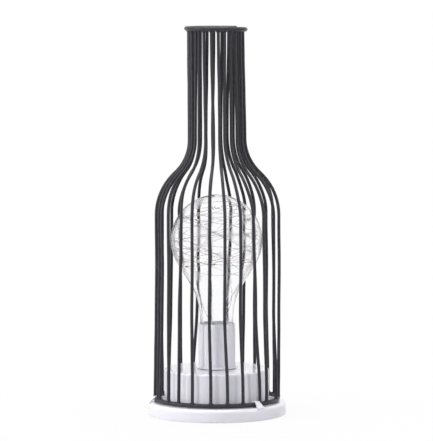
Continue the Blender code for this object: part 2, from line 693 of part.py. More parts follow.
def build_flat_contact(number, y, way):
    """Make the flat contact plate that meets the cell's raised end."""
    half = CONTACT_SIZE / 2
    plate = block(f"contact_plate_{number}", rounded_rectangle(half, half, half / 4, 2),
                  -GAP - CONTACT_T, -GAP, "nickel")
    lay_down(plate, way * BAY_HALF_X, y, way)


def build_switch():
    """Make the slide switch and its slider, whose origin is on the slide's axis."""
    long_x, wide_y, tall_z = SWITCH_BODY
    low = COVER_Z1 + GAP
    body = block("switch_body", rectangle(-long_x / 2, long_x / 2, SWITCH_Y - wide_y / 2,
                                          SWITCH_Y + wide_y / 2), low, low + tall_z, "nickel")
    room_x = (SLIDER_CARRIAGE[0] + SWITCH_TRAVEL) / 2 + RUNNING_GAP
    room_y = SLIDER_CARRIAGE[1] / 2 + RUNNING_GAP
    floor = low + SWITCH_WALL
    room = bmesh.new()
    prism(room, rectangle(-room_x, room_x, SWITCH_Y - room_y, SWITCH_Y + room_y), floor,
          floor + SLIDER_CARRIAGE[2] + 2 * RUNNING_GAP)
    combine(body, mesh_object("switch_room_guide", room, None), "DIFFERENCE")
    stem_x = (SLIDER_STEM[0] + SWITCH_TRAVEL) / 2 + RUNNING_GAP
    stem_y = SLIDER_STEM[1] / 2 + RUNNING_GAP
    combine(body, block("switch_slot_guide", rectangle(-stem_x, stem_x, SWITCH_Y - stem_y,
                                                       SWITCH_Y + stem_y),
                        low - GAP, floor + RUNNING_GAP, None), "DIFFERENCE")
    origin = Vector((-SWITCH_TRAVEL / 2, SWITCH_Y, floor + RUNNING_GAP))
    slider = block("switch_slider", rectangle(-SLIDER_CARRIAGE[0] / 2, SLIDER_CARRIAGE[0] / 2,
                                              -SLIDER_CARRIAGE[1] / 2, SLIDER_CARRIAGE[1] / 2),
                   0, SLIDER_CARRIAGE[2], "black_paint")
    slider.location = origin
    stem = block("stem_guide", rectangle(-SLIDER_STEM[0] / 2, SLIDER_STEM[0] / 2,
                                         -SLIDER_STEM[1] / 2, SLIDER_STEM[1] / 2),
                 COVER_Z0 + SLIDER_INSET - origin.z, SLIDER_CARRIAGE[2] / 2, None)
    stem.location = origin
    combine(slider, stem, "UNION")


def build_board():
    """Make the small circuit board on its two posts."""
    half_x = BOARD_SIZE[0] / 2
    half_y = BOARD_SIZE[1] / 2
    low = COVER_Z1 + BOARD_POST[2] + GAP
    top = low + BOARD_SIZE[2]
    board = block("circuit_board", rectangle(-half_x, half_x, BOARD_Y - half_y, BOARD_Y + half_y),
                  low, top, "board_green")
    parts = bmesh.new()
    for x, size in ((-half_x / 3, BOARD_CHIP), (half_x / 2, BOARD_CAPACITOR)):
        prism(parts, rectangle(x - size[0] / 2, x + size[0] / 2, BOARD_Y - size[1] / 2,
                               BOARD_Y + size[1] / 2), top - GAP, top + size[2])
    combine(board, mesh_object("board_parts_guide", parts, None), "UNION")
    return top


def smooth_route(points, steps):
    """Return a smooth curve through a few points, as a Catmull-Rom chain."""
    knots = [Vector(point) for point in points]
    knots = [2 * knots[0] - knots[1]] + knots + [2 * knots[-1] - knots[-2]]
    route = []
    for before, start, end, after in zip(knots, knots[1:], knots[2:], knots[3:]):
        for step in range(steps):
            t = step / steps
            route.append(0.5 * (2 * start + (end - before) * t
                                + (2 * before - 5 * start + 4 * end - after) * t ** 2
                                + (3 * start - before - 3 * end + after) * t ** 3))
    route.append(knots[-2])
    return route


def build_lead(board_top):
    """Make the lead from the board up through the holder to the plug's underside."""
    board_edge = BOARD_SIZE[0] / 2
    above_box = BAY_TOP_Z + 3 * LEAD_D
    start = Vector((-board_edge * 0.8, BOARD_Y, board_top + GAP + LEAD_D / 2))
    knots = [start, start + Vector((0, 0, 2 * LEAD_D)),
             Vector((-board_edge * 0.6, BOARD_Y, above_box)),
             Vector((-board_edge * 0.2, BAY_HALF_Y / 2, above_box + LEAD_D)),
             Vector((0, 0, DRUM_ROOF_Z)), Vector((0, 0, HOLDER_FOOT_Z + 4 * LEAD_D)),
             Vector((0, 0, BULB_FOOT_Z - GAP))]
    tube("string_lead", smooth_route(knots, 3), LEAD_D, "lead_jacket", THIN_WIRE_SIDE_COUNT)


def build_holder():
    """Make the lamp holder: a sleeve with a socket above and a snap spigot below."""
    hook_z = DRUM_ROOF_Z - GAP
    spigot_in = SPIGOT_R - SPIGOT_WALL
    foot_z = hook_z - 3 * SPIGOT_BARB
    lip = HOLDER_WALL / 3
    profile = [(SPIGOT_R - SPIGOT_BARB, foot_z), (SPIGOT_R + SPIGOT_BARB, hook_z - SPIGOT_BARB),
               (SPIGOT_R + SPIGOT_BARB, hook_z), (SPIGOT_R, hook_z), (SPIGOT_R, HOLDER_FOOT_Z),
               (HOLDER_FLANGE_R, HOLDER_FOOT_Z), (HOLDER_FLANGE_R, HOLDER_FOOT_Z + HOLDER_FLANGE_T),
               (HOLDER_R, HOLDER_FOOT_Z + HOLDER_FLANGE_T + (HOLDER_FLANGE_R - HOLDER_R)),
               (HOLDER_R, HOLDER_TOP_Z - lip), (HOLDER_R - lip, HOLDER_TOP_Z),
               (SOCKET_R + lip, HOLDER_TOP_Z), (SOCKET_R, HOLDER_TOP_Z - lip),
               (SOCKET_R, SOCKET_FLOOR_Z), (HOLDER_BORE_R, SOCKET_FLOOR_Z),
               (HOLDER_BORE_R, HOLDER_FOOT_Z + 2 * HOLDER_WALL), (spigot_in, HOLDER_FOOT_Z),
               (spigot_in, foot_z)]
    holder = turned("lamp_holder", profile, "white_plastic", 32)
    slits = bmesh.new()
    reach = SPIGOT_R + 2 * SPIGOT_BARB
    half = SPIGOT_SLIT / 2
    cross = [(-reach, -half), (-half, -half), (-half, -reach), (half, -reach), (half, -half), (reach, -half),
             (reach, half), (half, half), (half, reach), (-half, reach), (-half, half), (-reach, half)]
    prism(slits, cross, foot_z - GAP, DRUM_TOP_Z)
    combine(holder, mesh_object("slit_guide", slits, None), "DIFFERENCE")


def bezier(p0, p1, p2, p3, steps):
    """Return (r, z) points along a cubic curve, without its first point."""
    points = []
    for step in range(1, steps + 1):
        t = step / steps
        a, b, c, d = (1 - t) ** 3, 3 * t * (1 - t) ** 2, 3 * t * t * (1 - t), t ** 3
        points.append((a * p0[0] + b * p1[0] + c * p2[0] + d * p3[0],
                       a * p0[1] + b * p1[1] + c * p2[1] + d * p3[1]))
    return points


def bulb_outline(inset, round_steps, taper_steps):
    """Return the bulb's side from its top to its open neck, set in by a distance."""
    radius = BULB_R - inset
    side = arc(0, BULB_CENTRE_Z, radius, 90, -BULB_ARC_END, round_steps)
    side[0] = (0.0, BULB_CENTRE_Z + radius)
    end = math.radians(BULB_ARC_END)
    start = side[-1]
    neck_r = BULB_NECK_R - inset
    down = (start[0] - BULB_TAPER_PULL * math.sin(end), start[1] - BULB_TAPER_PULL * math.cos(end))
    side += bezier(start, down, (neck_r, HOLDER_TOP_Z + BULB_NECK_PULL), (neck_r, HOLDER_TOP_Z), taper_steps)
    side.append((neck_r, BULB_FOOT_Z))
    return side


def build_bulb():
    """Make the clear bulb as a thin shell with an open neck, and the plug in it."""
    outer = bulb_outline(0.0, 8, 6)
    inner = bulb_outline(BULB_WALL, 7, 4)
    turned("bulb_shell", outer + list(reversed(inner)), "clear_shell", BULB_STEPS, closed=False)
    plug_r = BULB_NECK_R - BULB_WALL - GAP
    hole_r = PLUG_HOLE_D / 2
    low = SOCKET_FLOOR_Z + GAP
    edge = HOLDER_WALL / 2
    profile = [(hole_r, low), (plug_r, low), (plug_r, low + PLUG_T - edge), (plug_r - edge, low + PLUG_T),
               (hole_r, low + PLUG_T)]
    turned("bulb_plug", profile, "white_plastic", 24)


def string_point(turns):
    """Return a point of the fairy string's coil after a number of turns."""
    share = turns / STRING_LOOPS
    tilt_way = math.radians(STRING_TILT_DRIFT * turns)
    angle = 2 * math.pi * turns
    fade = math.sin(math.pi * min(max(share, 0.04), 0.96))
    z = BULB_CENTRE_Z + STRING_LOW + (STRING_HIGH - STRING_LOW) * share
    z += STRING_TILT * fade * math.sin(angle - tilt_way)
    room = BULB_R - BULB_WALL - STRING_CLEARANCE
    pucker = 1 - STRING_PUCKER * (1 + math.sin(5 * angle + 2 * turns)) / 2
    radius = math.sqrt(max(room ** 2 - (z - BULB_CENTRE_Z) ** 2, (4 * STRING_D) ** 2))
    radius *= STRING_FIT * pucker
    return Vector((radius * math.cos(angle), radius * math.sin(angle), z))


def build_string():
    """Make the fairy string: up through the plug, then loop on loop inside the bulb."""
    plug_top = SOCKET_FLOOR_Z + GAP + PLUG_T
    coil_start = string_point(0)
    ahead = (string_point(0.03) - coil_start).normalized()
    rise = coil_start.z - plug_top
    knots = [Vector((0, 0, BULB_FOOT_Z + GAP)), Vector((0, 0, plug_top)),
             Vector((0.15 * coil_start.x, -0.10 * coil_start.x, plug_top + 0.25 * rise)),
             Vector((0.55 * coil_start.x, -0.45 * coil_start.x, plug_top + 0.72 * rise)),
             coil_start - ahead * 0.30 * coil_start.x]
    points = smooth_route(knots, 4)
    swell = [1.0] * len(points)
    total = STRING_LOOPS * STRING_LOOP_POINTS
    every = total // BEAD_COUNT
    bead = BEAD_D / STRING_D
    for step in range(total + 1):
        here = string_point(step / STRING_LOOP_POINTS)
        if step % every == every // 2 and step < total:
            ahead = (string_point((step + 0.2) / STRING_LOOP_POINTS) - here).normalized()
            for along, factor in ((-0.5, 1.0), (-0.22, bead), (0.22, bead), (0.5, 1.0)):
                points.append(here + ahead * BEAD_LENGTH * along)
                swell.append(factor)
        else:
            points.append(here)
            swell.append(1.0)
    tube("fairy_string", points, STRING_D, "string_wire", THIN_WIRE_SIDE_COUNT, swell)
    print("fairy_string least gap to itself, mm:", round(least_gap(points, swell) * 1000, 2))


def least_gap(points, swell):
    """Return the least surface gap between parts of the string that aren't neighbours."""
    least = math.inf
    apart = STRING_LOOP_POINTS // 3
    middles = [(a + b) / 2 for a, b in zip(points, points[1:])]
    for i, first in enumerate(middles):
        for j in range(i + apart, len(middles)):
            reach = STRING_D / 2 * (max(swell[i:i + 2]) + max(swell[j:j + 2]))
            along = max((points[i + 1] - points[i]).length, (points[j + 1] - points[j]).length)
            if (first - middles[j]).length - reach < least + along:
                between = segment_distance(points[i], points[i + 1], points[j], points[j + 1])
                least = min(least, between - reach)
    return least


def segment_distance(a0, a1, b0, b1, steps=6):
    """Return the least distance between two short straight runs, sampled along both."""
    least = math.inf
    for i in range(steps + 1):
        on_a = a0.lerp(a1, i / steps)
        for j in range(steps + 1):
            least = min(least, (on_a - b0.lerp(b1, j / steps)).length)
    return least


def main():
    """Build the whole lamp."""
    clear_scene()
    build_cage()
    build_housing()
    build_cover()
    build_cover_screws()
    build_feet()
    build_door()
    build_cells()
    build_switch()
    board_top = build_board()
    build_lead(board_top)
    build_holder()
    build_bulb()
    build_string()


main()
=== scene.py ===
"""Bottle-shaped wire table lamp: the fine meshes and the finishes of every piece.

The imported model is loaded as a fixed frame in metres: +Z is up, -Y is the front, and the origin is
at the middle of the underside. Each class below makes one sub-assembly in that same frame.
"""

import enum
import functools
import logging
import math
from collections.abc import Callable, Sequence
from dataclasses import dataclass, field

import bmesh
import bpy
from mathutils import Matrix, Vector, noise


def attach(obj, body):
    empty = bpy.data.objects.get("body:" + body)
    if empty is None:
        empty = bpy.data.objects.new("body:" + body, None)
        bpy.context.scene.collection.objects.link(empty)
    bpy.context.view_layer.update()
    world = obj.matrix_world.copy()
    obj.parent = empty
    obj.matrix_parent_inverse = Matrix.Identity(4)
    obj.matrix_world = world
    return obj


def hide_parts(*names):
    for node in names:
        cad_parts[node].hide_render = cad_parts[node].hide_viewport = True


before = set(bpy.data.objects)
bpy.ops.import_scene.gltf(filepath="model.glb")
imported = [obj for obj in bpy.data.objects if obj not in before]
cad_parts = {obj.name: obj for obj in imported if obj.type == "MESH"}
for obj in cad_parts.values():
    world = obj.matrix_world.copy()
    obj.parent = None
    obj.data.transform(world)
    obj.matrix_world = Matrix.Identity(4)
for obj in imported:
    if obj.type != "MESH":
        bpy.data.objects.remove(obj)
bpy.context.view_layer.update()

log = logging.getLogger("lamp")

Pair = tuple[float, float]
Triple = tuple[float, float, float]
Profile = list[Pair]
Colour = Triple
Sockets = bpy.types.NodeOutputs

NOISE_SEED = 1795732041  # without it, noise_vector starts from the clock
OPAQUE_WHITE = (1.0, 1.0, 1.0, 1.0)
NO_LENGTH = 1e-9  # metres below which a side counts as nothing
SEAM_WELD = 1e-7  # metres within which a turned solid's seam is joined
FRAME_WELD = 1e-6  # metres within which a frame node's vertices are joined
STRAIGHT = 160.0  # degrees between its sides from which a corner counts as straight
CORNER_SHARE = 0.45  # share of a side that the softening of one corner may take
DOME_END = 84.0  # degrees up a rod's end dome at which its last ring lies
DOME_RISE = 0.6  # height of the dome in radii of its rod
WIRE_SEED = 7.3  # step in the noise from one wire to the next


class Body(enum.Enum):
    """The bodies of the frame that pieces ride on."""

    LAMP = "lamp"
    SLIDER = "slider"
    DOOR = "door"


class Slot(enum.Enum):
    """The record's material slots."""

    BLACK_PAINT = "black_paint"
    WHITE_PLASTIC = "white_plastic"
    CLEAR_SHELL = "clear_shell"
    STRING_WIRE = "string_wire"
    CELL_JACKET = "cell_jacket"
    NICKEL = "nickel"
    ZINC_STEEL = "zinc_steel"
    RUBBER = "rubber"
    BOARD_GREEN = "board_green"
    LEAD_JACKET = "lead_jacket"
    BLACK_PLASTIC = "black_plastic"


class Crisp(enum.Enum):
    """The angle in degrees above which an edge stays crisp, by the kind of form."""

    CELL = 30.0
    FLAT = 38.0
    TURNED = 45.0
    SHELL = 50.0
    ROD = 60.0
    LUMP = 70.0
    STRAND = 80.0


class Graph:
    """A node tree with short calls that add nodes and join them."""

    def __init__(self, tree: bpy.types.NodeTree) -> None:
        """Wrap a node tree.

        Args:
            tree: The tree of a material, a world or a node group.
        """
        self.tree = tree

    def add(self, kind: str, inputs: dict[str | int, object] | None = None,
            **settings: object) -> bpy.types.Node:
        """Add a node, and set its properties and its sockets' own values.

        Args:
            kind: The node's type name.
            inputs: Values, or output sockets to join, by input name or number.
            **settings: Properties of the node itself.

        Returns:
            The new node.
        """
        node = self.tree.nodes.new(kind)
        for key, value in settings.items():
            setattr(node, key, value)
        for key, value in (inputs or {}).items():
            self.feed(node, key, value)
        return node

    def feed(self, node: bpy.types.Node, key: str | int, value: object) -> None:
        """Set an input to a plain value, or join it to an output.

        Args:
            node: The node that has the input.
            key: The input's name or number.
            value: A number, a tuple, or an output socket.
        """
        if isinstance(value, bpy.types.NodeSocket):
            self.tree.links.new(value, node.inputs[key])
        else:
            node.inputs[key].default_value = value

    def math(self, operation: str, first: object, second: object = 0.0,
             clamp: bool = False) -> bpy.types.NodeSocket:
        """Work out one number from two.

        Args:
            operation: The name of the operation.
            first: A number or an output socket.
            second: A number or an output socket.
            clamp: Whether the answer is held between 0 and 1.

        Returns:
            The output socket of the answer.
        """
        node = self.add("ShaderNodeMath", {0: first, 1: second}, operation=operation, use_clamp=clamp)
        return node.outputs[0]

    def spread(self, value: object, low: float, high: float, start: float = 0.0,
               end: float = 1.0) -> bpy.types.NodeSocket:
        """Map a range of numbers onto another.

        Args:
            value: The number, as an output socket.
            low: What the start of the range becomes.
            high: What the end of the range becomes.
            start: The start of the range.
            end: The end of the range.

        Returns:
            The output socket of the mapped number.
        """
        node = self.add("ShaderNodeMapRange", {"Value": value, "From Min": start, "From Max": end,
                                               "To Min": low, "To Max": high})
        return node.outputs["Result"]

    def stretch(self, value: object, start: float, end: float) -> bpy.types.NodeSocket:
        """Stretch a range of numbers over 0 to 1.

        Args:
            value: The number, as an output socket.
            start: What becomes 0.
            end: What becomes 1.

        Returns:
            The output socket of the stretched number.
        """
        return self.spread(value, 0.0, 1.0, start, end)

    def noise(self, place: object, scale: object, detail: float, roughness: float) -> bpy.types.NodeSocket:
        """Lay a noise pattern.

        Args:
            place: The coordinates, as an output socket.
            scale: How many of its lumps lie in a metre.
            detail: How many finer layers it has.
            roughness: How strong the finer layers are.

        Returns:
            The output socket of its grey value.
        """
        node = self.add("ShaderNodeTexNoise", {"Vector": place, "Scale": scale, "Detail": detail,
                                               "Roughness": roughness})
        return node.outputs["Fac"]

    def blend(self, share: object, first: object, second: object) -> bpy.types.NodeSocket:
        """Mix two colours.

        Args:
            share: How much of the second colour shows, from 0 to 1.
            first: A colour of three numbers, or an output socket.
            second: A colour of three numbers, or an output socket.

        Returns:
            The output socket of the mixed colour.
        """
        node = self.add("ShaderNodeMix", {0: share}, data_type="RGBA")
        for number, colour in ((6, first), (7, second)):
            self.feed(node, number, (*colour, 1.0) if isinstance(colour, tuple) else colour)
        return node.outputs[2]

    def bump(self, height: object, depth: float, strength: float) -> bpy.types.NodeSocket:
        """Turn a height into a normal.

        Args:
            height: The height, as an output socket.
            depth: How deep a height of 1 is, in metres.
            strength: The share of the effect.

        Returns:
            The output socket of the normal.
        """
        node = self.add("ShaderNodeBump", {"Height": height, "Distance": depth, "Strength": strength})
        return node.outputs["Normal"]


@dataclass(frozen=True)
class Effect:
    """A shader node group that several finishes share: it is built once and placed with own values."""

    title: str
    inputs: tuple[tuple[str, float], ...]
    outputs: tuple[str, ...]
    wire: Callable[[Graph, bpy.types.Node], dict[str, bpy.types.NodeSocket]]

    def tree(self) -> bpy.types.NodeTree:
        """Return the node group, made on first use."""
        tree = bpy.data.node_groups.get(self.title)
        if tree is not None:
            return tree
        tree = bpy.data.node_groups.new(self.title, "ShaderNodeTree")
        for name, value in self.inputs:
            socket = tree.interface.new_socket(name, in_out="INPUT", socket_type="NodeSocketFloat")
            socket.default_value = value
        for name in self.outputs:
            tree.interface.new_socket(name, in_out="OUTPUT", socket_type="NodeSocketFloat")
        graph = Graph(tree)
        entry = graph.add("NodeGroupInput")
        graph.add("NodeGroupOutput", self.wire(graph, entry))
        return tree

    def place(self, graph: Graph, **values: float) -> bpy.types.Node:
        """Place the group in a material.

        Args:
            graph: The material's graph.
            **values: The inputs' values, with _ for each space in a name.

        Returns:
            The group node.
        """
        inputs = {key.replace("_", " "): value for key, value in values.items()}
        return graph.add("ShaderNodeGroup", inputs, node_tree=self.tree())


def wire_grain(graph: Graph, entry: bpy.types.Node) -> dict[str, bpy.types.NodeSocket]:
    """Join up the surface grain: slow waves with a fine grain on them.

    Args:
        graph: The group's graph.
        entry: The group's input node.

    Returns:
        The sockets for the group's outputs.
    """
    place = graph.add("ShaderNodeTexCoord").outputs["Object"]
    slow = graph.noise(place, entry.outputs["Waves per metre"], 2.0, 0.45)
    fine = graph.noise(place, entry.outputs["Grains per metre"], 3.0, 0.6)
    share = entry.outputs["Grain share"]
    height = graph.math("ADD", graph.math("MULTIPLY", fine, share),
                        graph.math("MULTIPLY", slow, graph.math("SUBTRACT", 1.0, share)))
    return {"Height": height, "Mask": graph.stretch(slow, 0.35, 0.65), "Grain": graph.stretch(fine, 0.3, 0.7)}


def wire_dust(graph: Graph, entry: bpy.types.Node) -> dict[str, bpy.types.NodeSocket]:
    """Join up the settled dust: it lies on faces that look up, in soft drifts.

    Args:
        graph: The group's graph.
        entry: The group's input node.

    Returns:
        The sockets for the group's outputs.
    """
    coords = graph.add("ShaderNodeTexCoord")
    facing = graph.add("ShaderNodeSeparateXYZ", {0: coords.outputs["Normal"]}).outputs["Z"]
    drifts = graph.noise(coords.outputs["Object"], 260.0, 4.0, 0.65)
    mask = graph.math("MULTIPLY", graph.stretch(facing, 0.35, 1.0), graph.stretch(drifts, 0.38, 0.72))
    return {"Mask": graph.math("MULTIPLY", mask, entry.outputs["Amount"], clamp=True)}


def wire_rub(graph: Graph, entry: bpy.types.Node) -> dict[str, bpy.types.NodeSocket]:
    """Join up the rubbed edges: a mask along outer edges, broken up by patches.

    Args:
        graph: The group's graph.
        entry: The group's input node.

    Returns:
        The sockets for the group's outputs.
    """
    place = graph.add("ShaderNodeTexCoord").outputs["Object"]
    edge = graph.add("ShaderNodeNewGeometry").outputs["Pointiness"]
    patches = graph.noise(place, entry.outputs["Patches per metre"], 3.0, 0.7)
    mask = graph.math("MULTIPLY", graph.stretch(edge, 0.52, 0.62), graph.stretch(patches, 0.4, 0.6))
    return {"Mask": graph.math("MULTIPLY", mask, entry.outputs["Amount"], clamp=True)}


def wire_scratches(graph: Graph, entry: bpy.types.Node) -> dict[str, bpy.types.NodeSocket]:
    """Join up the handling marks: fine crossing hairlines.

    Args:
        graph: The group's graph.
        entry: The group's input node.

    Returns:
        The sockets for the group's outputs.
    """
    place = graph.add("ShaderNodeTexCoord").outputs["Object"]
    lines = []
    for turn, squeeze in ((0.5, 14.0), (-1.1, 18.0)):
        laid = graph.add("ShaderNodeMapping", {"Vector": place, "Rotation": (turn, 0.4 * turn, turn),
                                               "Scale": (1.0, squeeze, 1.0)}).outputs[0]
        lines.append(graph.stretch(graph.noise(laid, entry.outputs["Lines per metre"], 2.0, 0.5), 0.62, 0.7))
    mask = graph.math("MAXIMUM", lines[0], lines[1])
    return {"Mask": graph.math("MULTIPLY", mask, entry.outputs["Amount"], clamp=True)}


GRAIN = Effect("surface grain",
               (("Waves per metre", 90.0), ("Grains per metre", 2600.0), ("Grain share", 0.3)),
               ("Height", "Mask", "Grain"), wire_grain)
DUST = Effect("settled dust", (("Amount", 0.2),), ("Mask",), wire_dust)
RUB = Effect("rubbed edges", (("Amount", 0.5), ("Patches per metre", 300.0)), ("Mask",), wire_rub)
SCRATCHES = Effect("handling marks", (("Amount", 0.4), ("Lines per metre", 160.0)), ("Mask",), wire_scratches)


@dataclass(frozen=True)
class Finish:
    """A finish of the lamp, whose material is made on first use.

    Every finish has a grain, given as waves per metre, grains per metre and the grain's share. It
    varies the roughness and lifts the surface by the relief, given as a depth in metres and its
    share. The marks are given as their amount, lines per metre and how much they roughen. A
    subclass says how wear lies over the colour, and dust may settle on all of it.
    """

    title: str
    slot: Slot
    colour: Colour
    worn: Colour = (0.5, 0.5, 0.5)
    roughness: Pair = (0.35, 0.5)
    rough_by: str = "Mask"
    grain: Triple = (260.0, 3600.0, 0.5)
    marks: Triple = (0.0, 0.0, 0.0)
    relief: Pair = (0.00004, 0.6)
    rub: Pair = (0.5, 700.0)
    dust: Colour = (0.62, 0.61, 0.60)
    dust_amount: float = 0.0
    plain: tuple[tuple[str, float | Colour], ...] = ()

    def material(self) -> bpy.types.Material:
        """Return the finish's material."""
        found = bpy.data.materials.get(self.title)
        if found is not None:
            return found
        made = bpy.data.materials.new(self.title)
        made.use_nodes = True
        made.diffuse_color = (*self.colour, 1.0)
        graph = Graph(made.node_tree)
        shader = made.node_tree.nodes["Principled BSDF"]
        for name, value in self.inputs(graph).items():
            graph.feed(shader, name, value)
        return made

    def inputs(self, graph: Graph) -> dict[str, object]:
        """Join up the finish's nodes.

        Args:
            graph: The material's graph.

        Returns:
            What goes into the shader's inputs, by their names.
        """
        waves, grains, share = self.grain
        grain = GRAIN.place(graph, Waves_per_metre=waves, Grains_per_metre=grains, Grain_share=share).outputs
        rough = graph.spread(grain[self.rough_by], *self.roughness)
        amount, lines, roughening = self.marks
        marks = 0.0
        if amount:
            marks = SCRATCHES.place(graph, Amount=amount, Lines_per_metre=lines).outputs["Mask"]
        if roughening:
            rough = graph.math("ADD", rough, graph.math("MULTIPLY", marks, roughening))
        inputs = {"Roughness": rough, **dict(self.plain), **self.layers(graph, grain, marks)}
        if self.dust_amount:
            dusty = DUST.place(graph, Amount=self.dust_amount).outputs["Mask"]
            inputs["Base Color"] = graph.blend(dusty, inputs["Base Color"], self.dust)
        if "Normal" not in inputs:
            inputs["Normal"] = graph.bump(grain["Height"], *self.relief)
        return inputs

    def rubbed(self, graph: Graph) -> bpy.types.NodeSocket:
        """Place the rubbed edges.

        Args:
            graph: The material's graph.

        Returns:
            The socket of their mask.
        """
        amount, patches = self.rub
        return RUB.place(graph, Amount=amount, Patches_per_metre=patches).outputs["Mask"]

    def layers(self, graph: Graph, grain: Sockets, marks: object) -> dict[str, object]:
        """Lay wear and marks over the colour.

        Args:
            graph: The material's graph.
            grain: The grain's output sockets.
            marks: The socket of the marks' mask.

        Returns:
            What goes into the shader's inputs, by their names.
        """
        raise NotImplementedError


@dataclass(frozen=True)
class SatinPaint(Finish):
    """Baked black paint on steel wire: satin, with an orange-peel grain, light dust and dull scuffs."""

    worn: Colour = (0.16, 0.16, 0.17)
    roughness: Pair = (0.26, 0.36)
    grain: Triple = (120.0, 900.0, 0.2)
    marks: Triple = (0.15, 110.0, 0.0)
    relief: Pair = (0.00003, 0.35)
    dust: Colour = (0.32, 0.31, 0.30)
    dust_amount: float = 0.05
    plain: tuple[tuple[str, float | Colour], ...] = (("Specular IOR Level", 0.12),)

    def layers(self, graph: Graph, grain: Sockets, marks: object) -> dict[str, object]:
        """Scuff the paint along its marks."""
        scuffs = graph.math("MULTIPLY", marks, grain["Mask"])
        return {"Base Color": graph.blend(scuffs, self.colour, self.worn)}


@dataclass(frozen=True)
class GlossMoulding(Finish):
    """Gloss white moulding: faint sink waves, hairline marks and a little dust on its flats."""

    worn: Colour = (0.78, 0.78, 0.80)
    roughness: Pair = (0.06, 0.14)
    grain: Triple = (70.0, 3200.0, 0.03)
    marks: Triple = (0.5, 140.0, 0.12)
    relief: Pair = (0.00006, 0.5)
    dust_amount: float = 0.05
    plain: tuple[tuple[str, float | Colour], ...] = (
        ("IOR", 1.49), ("Subsurface Weight", 0.08), ("Subsurface Radius", (0.0020, 0.0019, 0.0018)))

    def layers(self, graph: Graph, grain: Sockets, marks: object) -> dict[str, object]:
        """Tint the moulding in faint patches."""
        patches = graph.spread(grain["Mask"], 0.0, 0.25)
        return {"Base Color": graph.blend(patches, self.colour, self.worn)}


@dataclass(frozen=True)
class ClearMoulding(Finish):
    """Clear blown or cast material: slow waves in its wall, hazy patches and light hairlines."""

    worn: Colour = (0.985, 0.986, 0.995)
    roughness: Pair = (0.0, 0.24)
    grain: Triple = (95.0, 500.0, 0.01)
    marks: Triple = (0.15, 120.0, 0.05)
    relief: Pair = (0.0003, 0.6)
    plain: tuple[tuple[str, float | Colour], ...] = (("Transmission Weight", 1.0), ("IOR", 1.14))

    def layers(self, graph: Graph, grain: Sockets, marks: object) -> dict[str, object]:
        """Cloud the clear material in patches."""
        return {"Base Color": graph.blend(grain["Mask"], self.colour, self.worn)}


@dataclass(frozen=True)
class PlatedMetal(Finish):
    """Bare or plated metal: bright, with fine drawn lines, dulled patches and rubbed edges."""

    worn: Colour = (0.42, 0.41, 0.39)
    roughness: Pair = (0.20, 0.42)
    grain: Triple = (420.0, 5200.0, 0.4)
    marks: Triple = (0.6, 420.0, 0.15)
    relief: Pair = (0.00003, 0.5)
    rub: Pair = (0.6, 500.0)
    plain: tuple[tuple[str, float | Colour], ...] = (("Metallic", 1.0),)

    def layers(self, graph: Graph, grain: Sockets, marks: object) -> dict[str, object]:
        """Dull the metal in patches, and brighten its rubbed edges."""
        patchy = graph.blend(graph.spread(grain["Mask"], 0.0, 0.55), self.colour, self.worn)
        return {"Base Color": graph.blend(self.rubbed(graph), patchy, self.colour)}


@dataclass(frozen=True)
class BlackRubber(Finish):
    """Matt rubber: a fine pitted skin, greyed by dust from the table."""

    worn: Colour = (0.13, 0.13, 0.125)
    roughness: Pair = (0.68, 0.88)
    rough_by: str = "Grain"
    grain: Triple = (400.0, 4000.0, 0.7)
    relief: Pair = (0.00005, 0.8)
    rub: Pair = (0.7, 600.0)

    def layers(self, graph: Graph, grain: Sockets, marks: object) -> dict[str, object]:
        """Grey the rubber at its edges and in patches."""
        greyed = graph.math("MAXIMUM", self.rubbed(graph), graph.spread(grain["Mask"], 0.0, 0.4))
        return {"Base Color": graph.blend(greyed, self.colour, self.worn)}


@dataclass(frozen=True)
class PrintedJacket(Finish):
    """A dry cell's plain jacket: a coloured sleeve with a pale band at the raised end of each cell.

    The cells lie in rows along X. Those beyond row_split to either side of the middle point the
    other way from the one between them.
    """

    worn: Colour = (0.20, 0.21, 0.23)
    roughness: Pair = (0.26, 0.42)
    grain: Triple = (220.0, 3000.0, 0.2)
    marks: Triple = (0.6, 200.0, 0.0)
    relief: Pair = (0.00008, 0.4)
    band: Colour = (0.62, 0.36, 0.16)
    band_start: float = 0.0105
    seam_half: float = 0.00025
    row_split: float = 0.0056

    def layers(self, graph: Graph, grain: Sockets, marks: object) -> dict[str, object]:
        """Print the band and its seam, and mark the jacket.

        Args:
            graph: The material's graph.
            grain: The grain's output sockets.
            marks: The socket of the marks' mask.

        Returns:
            What goes into the shader's inputs, by their names.
        """
        point = graph.add("ShaderNodeTexCoord").outputs["Object"]
        place = graph.add("ShaderNodeSeparateXYZ", {0: point}).outputs
        outer = graph.math("GREATER_THAN", graph.math("ABSOLUTE", place["Y"]), self.row_split)
        way = graph.math("SUBTRACT", graph.math("MULTIPLY", outer, 2.0), 1.0)
        along = graph.math("MULTIPLY", place["X"], way)
        banded = graph.math("GREATER_THAN", along, self.band_start)
        inputs = {0: along, 1: self.band_start, 2: self.seam_half}
        seam = graph.add("ShaderNodeMath", inputs, operation="COMPARE")
        printed = graph.blend(seam.outputs[0], graph.blend(banded, self.colour, self.band), self.worn)
        return {"Base Color": graph.blend(graph.math("MULTIPLY", marks, 0.5), printed, self.worn),
                "Metallic": graph.spread(banded, 0.25, 0.75)}


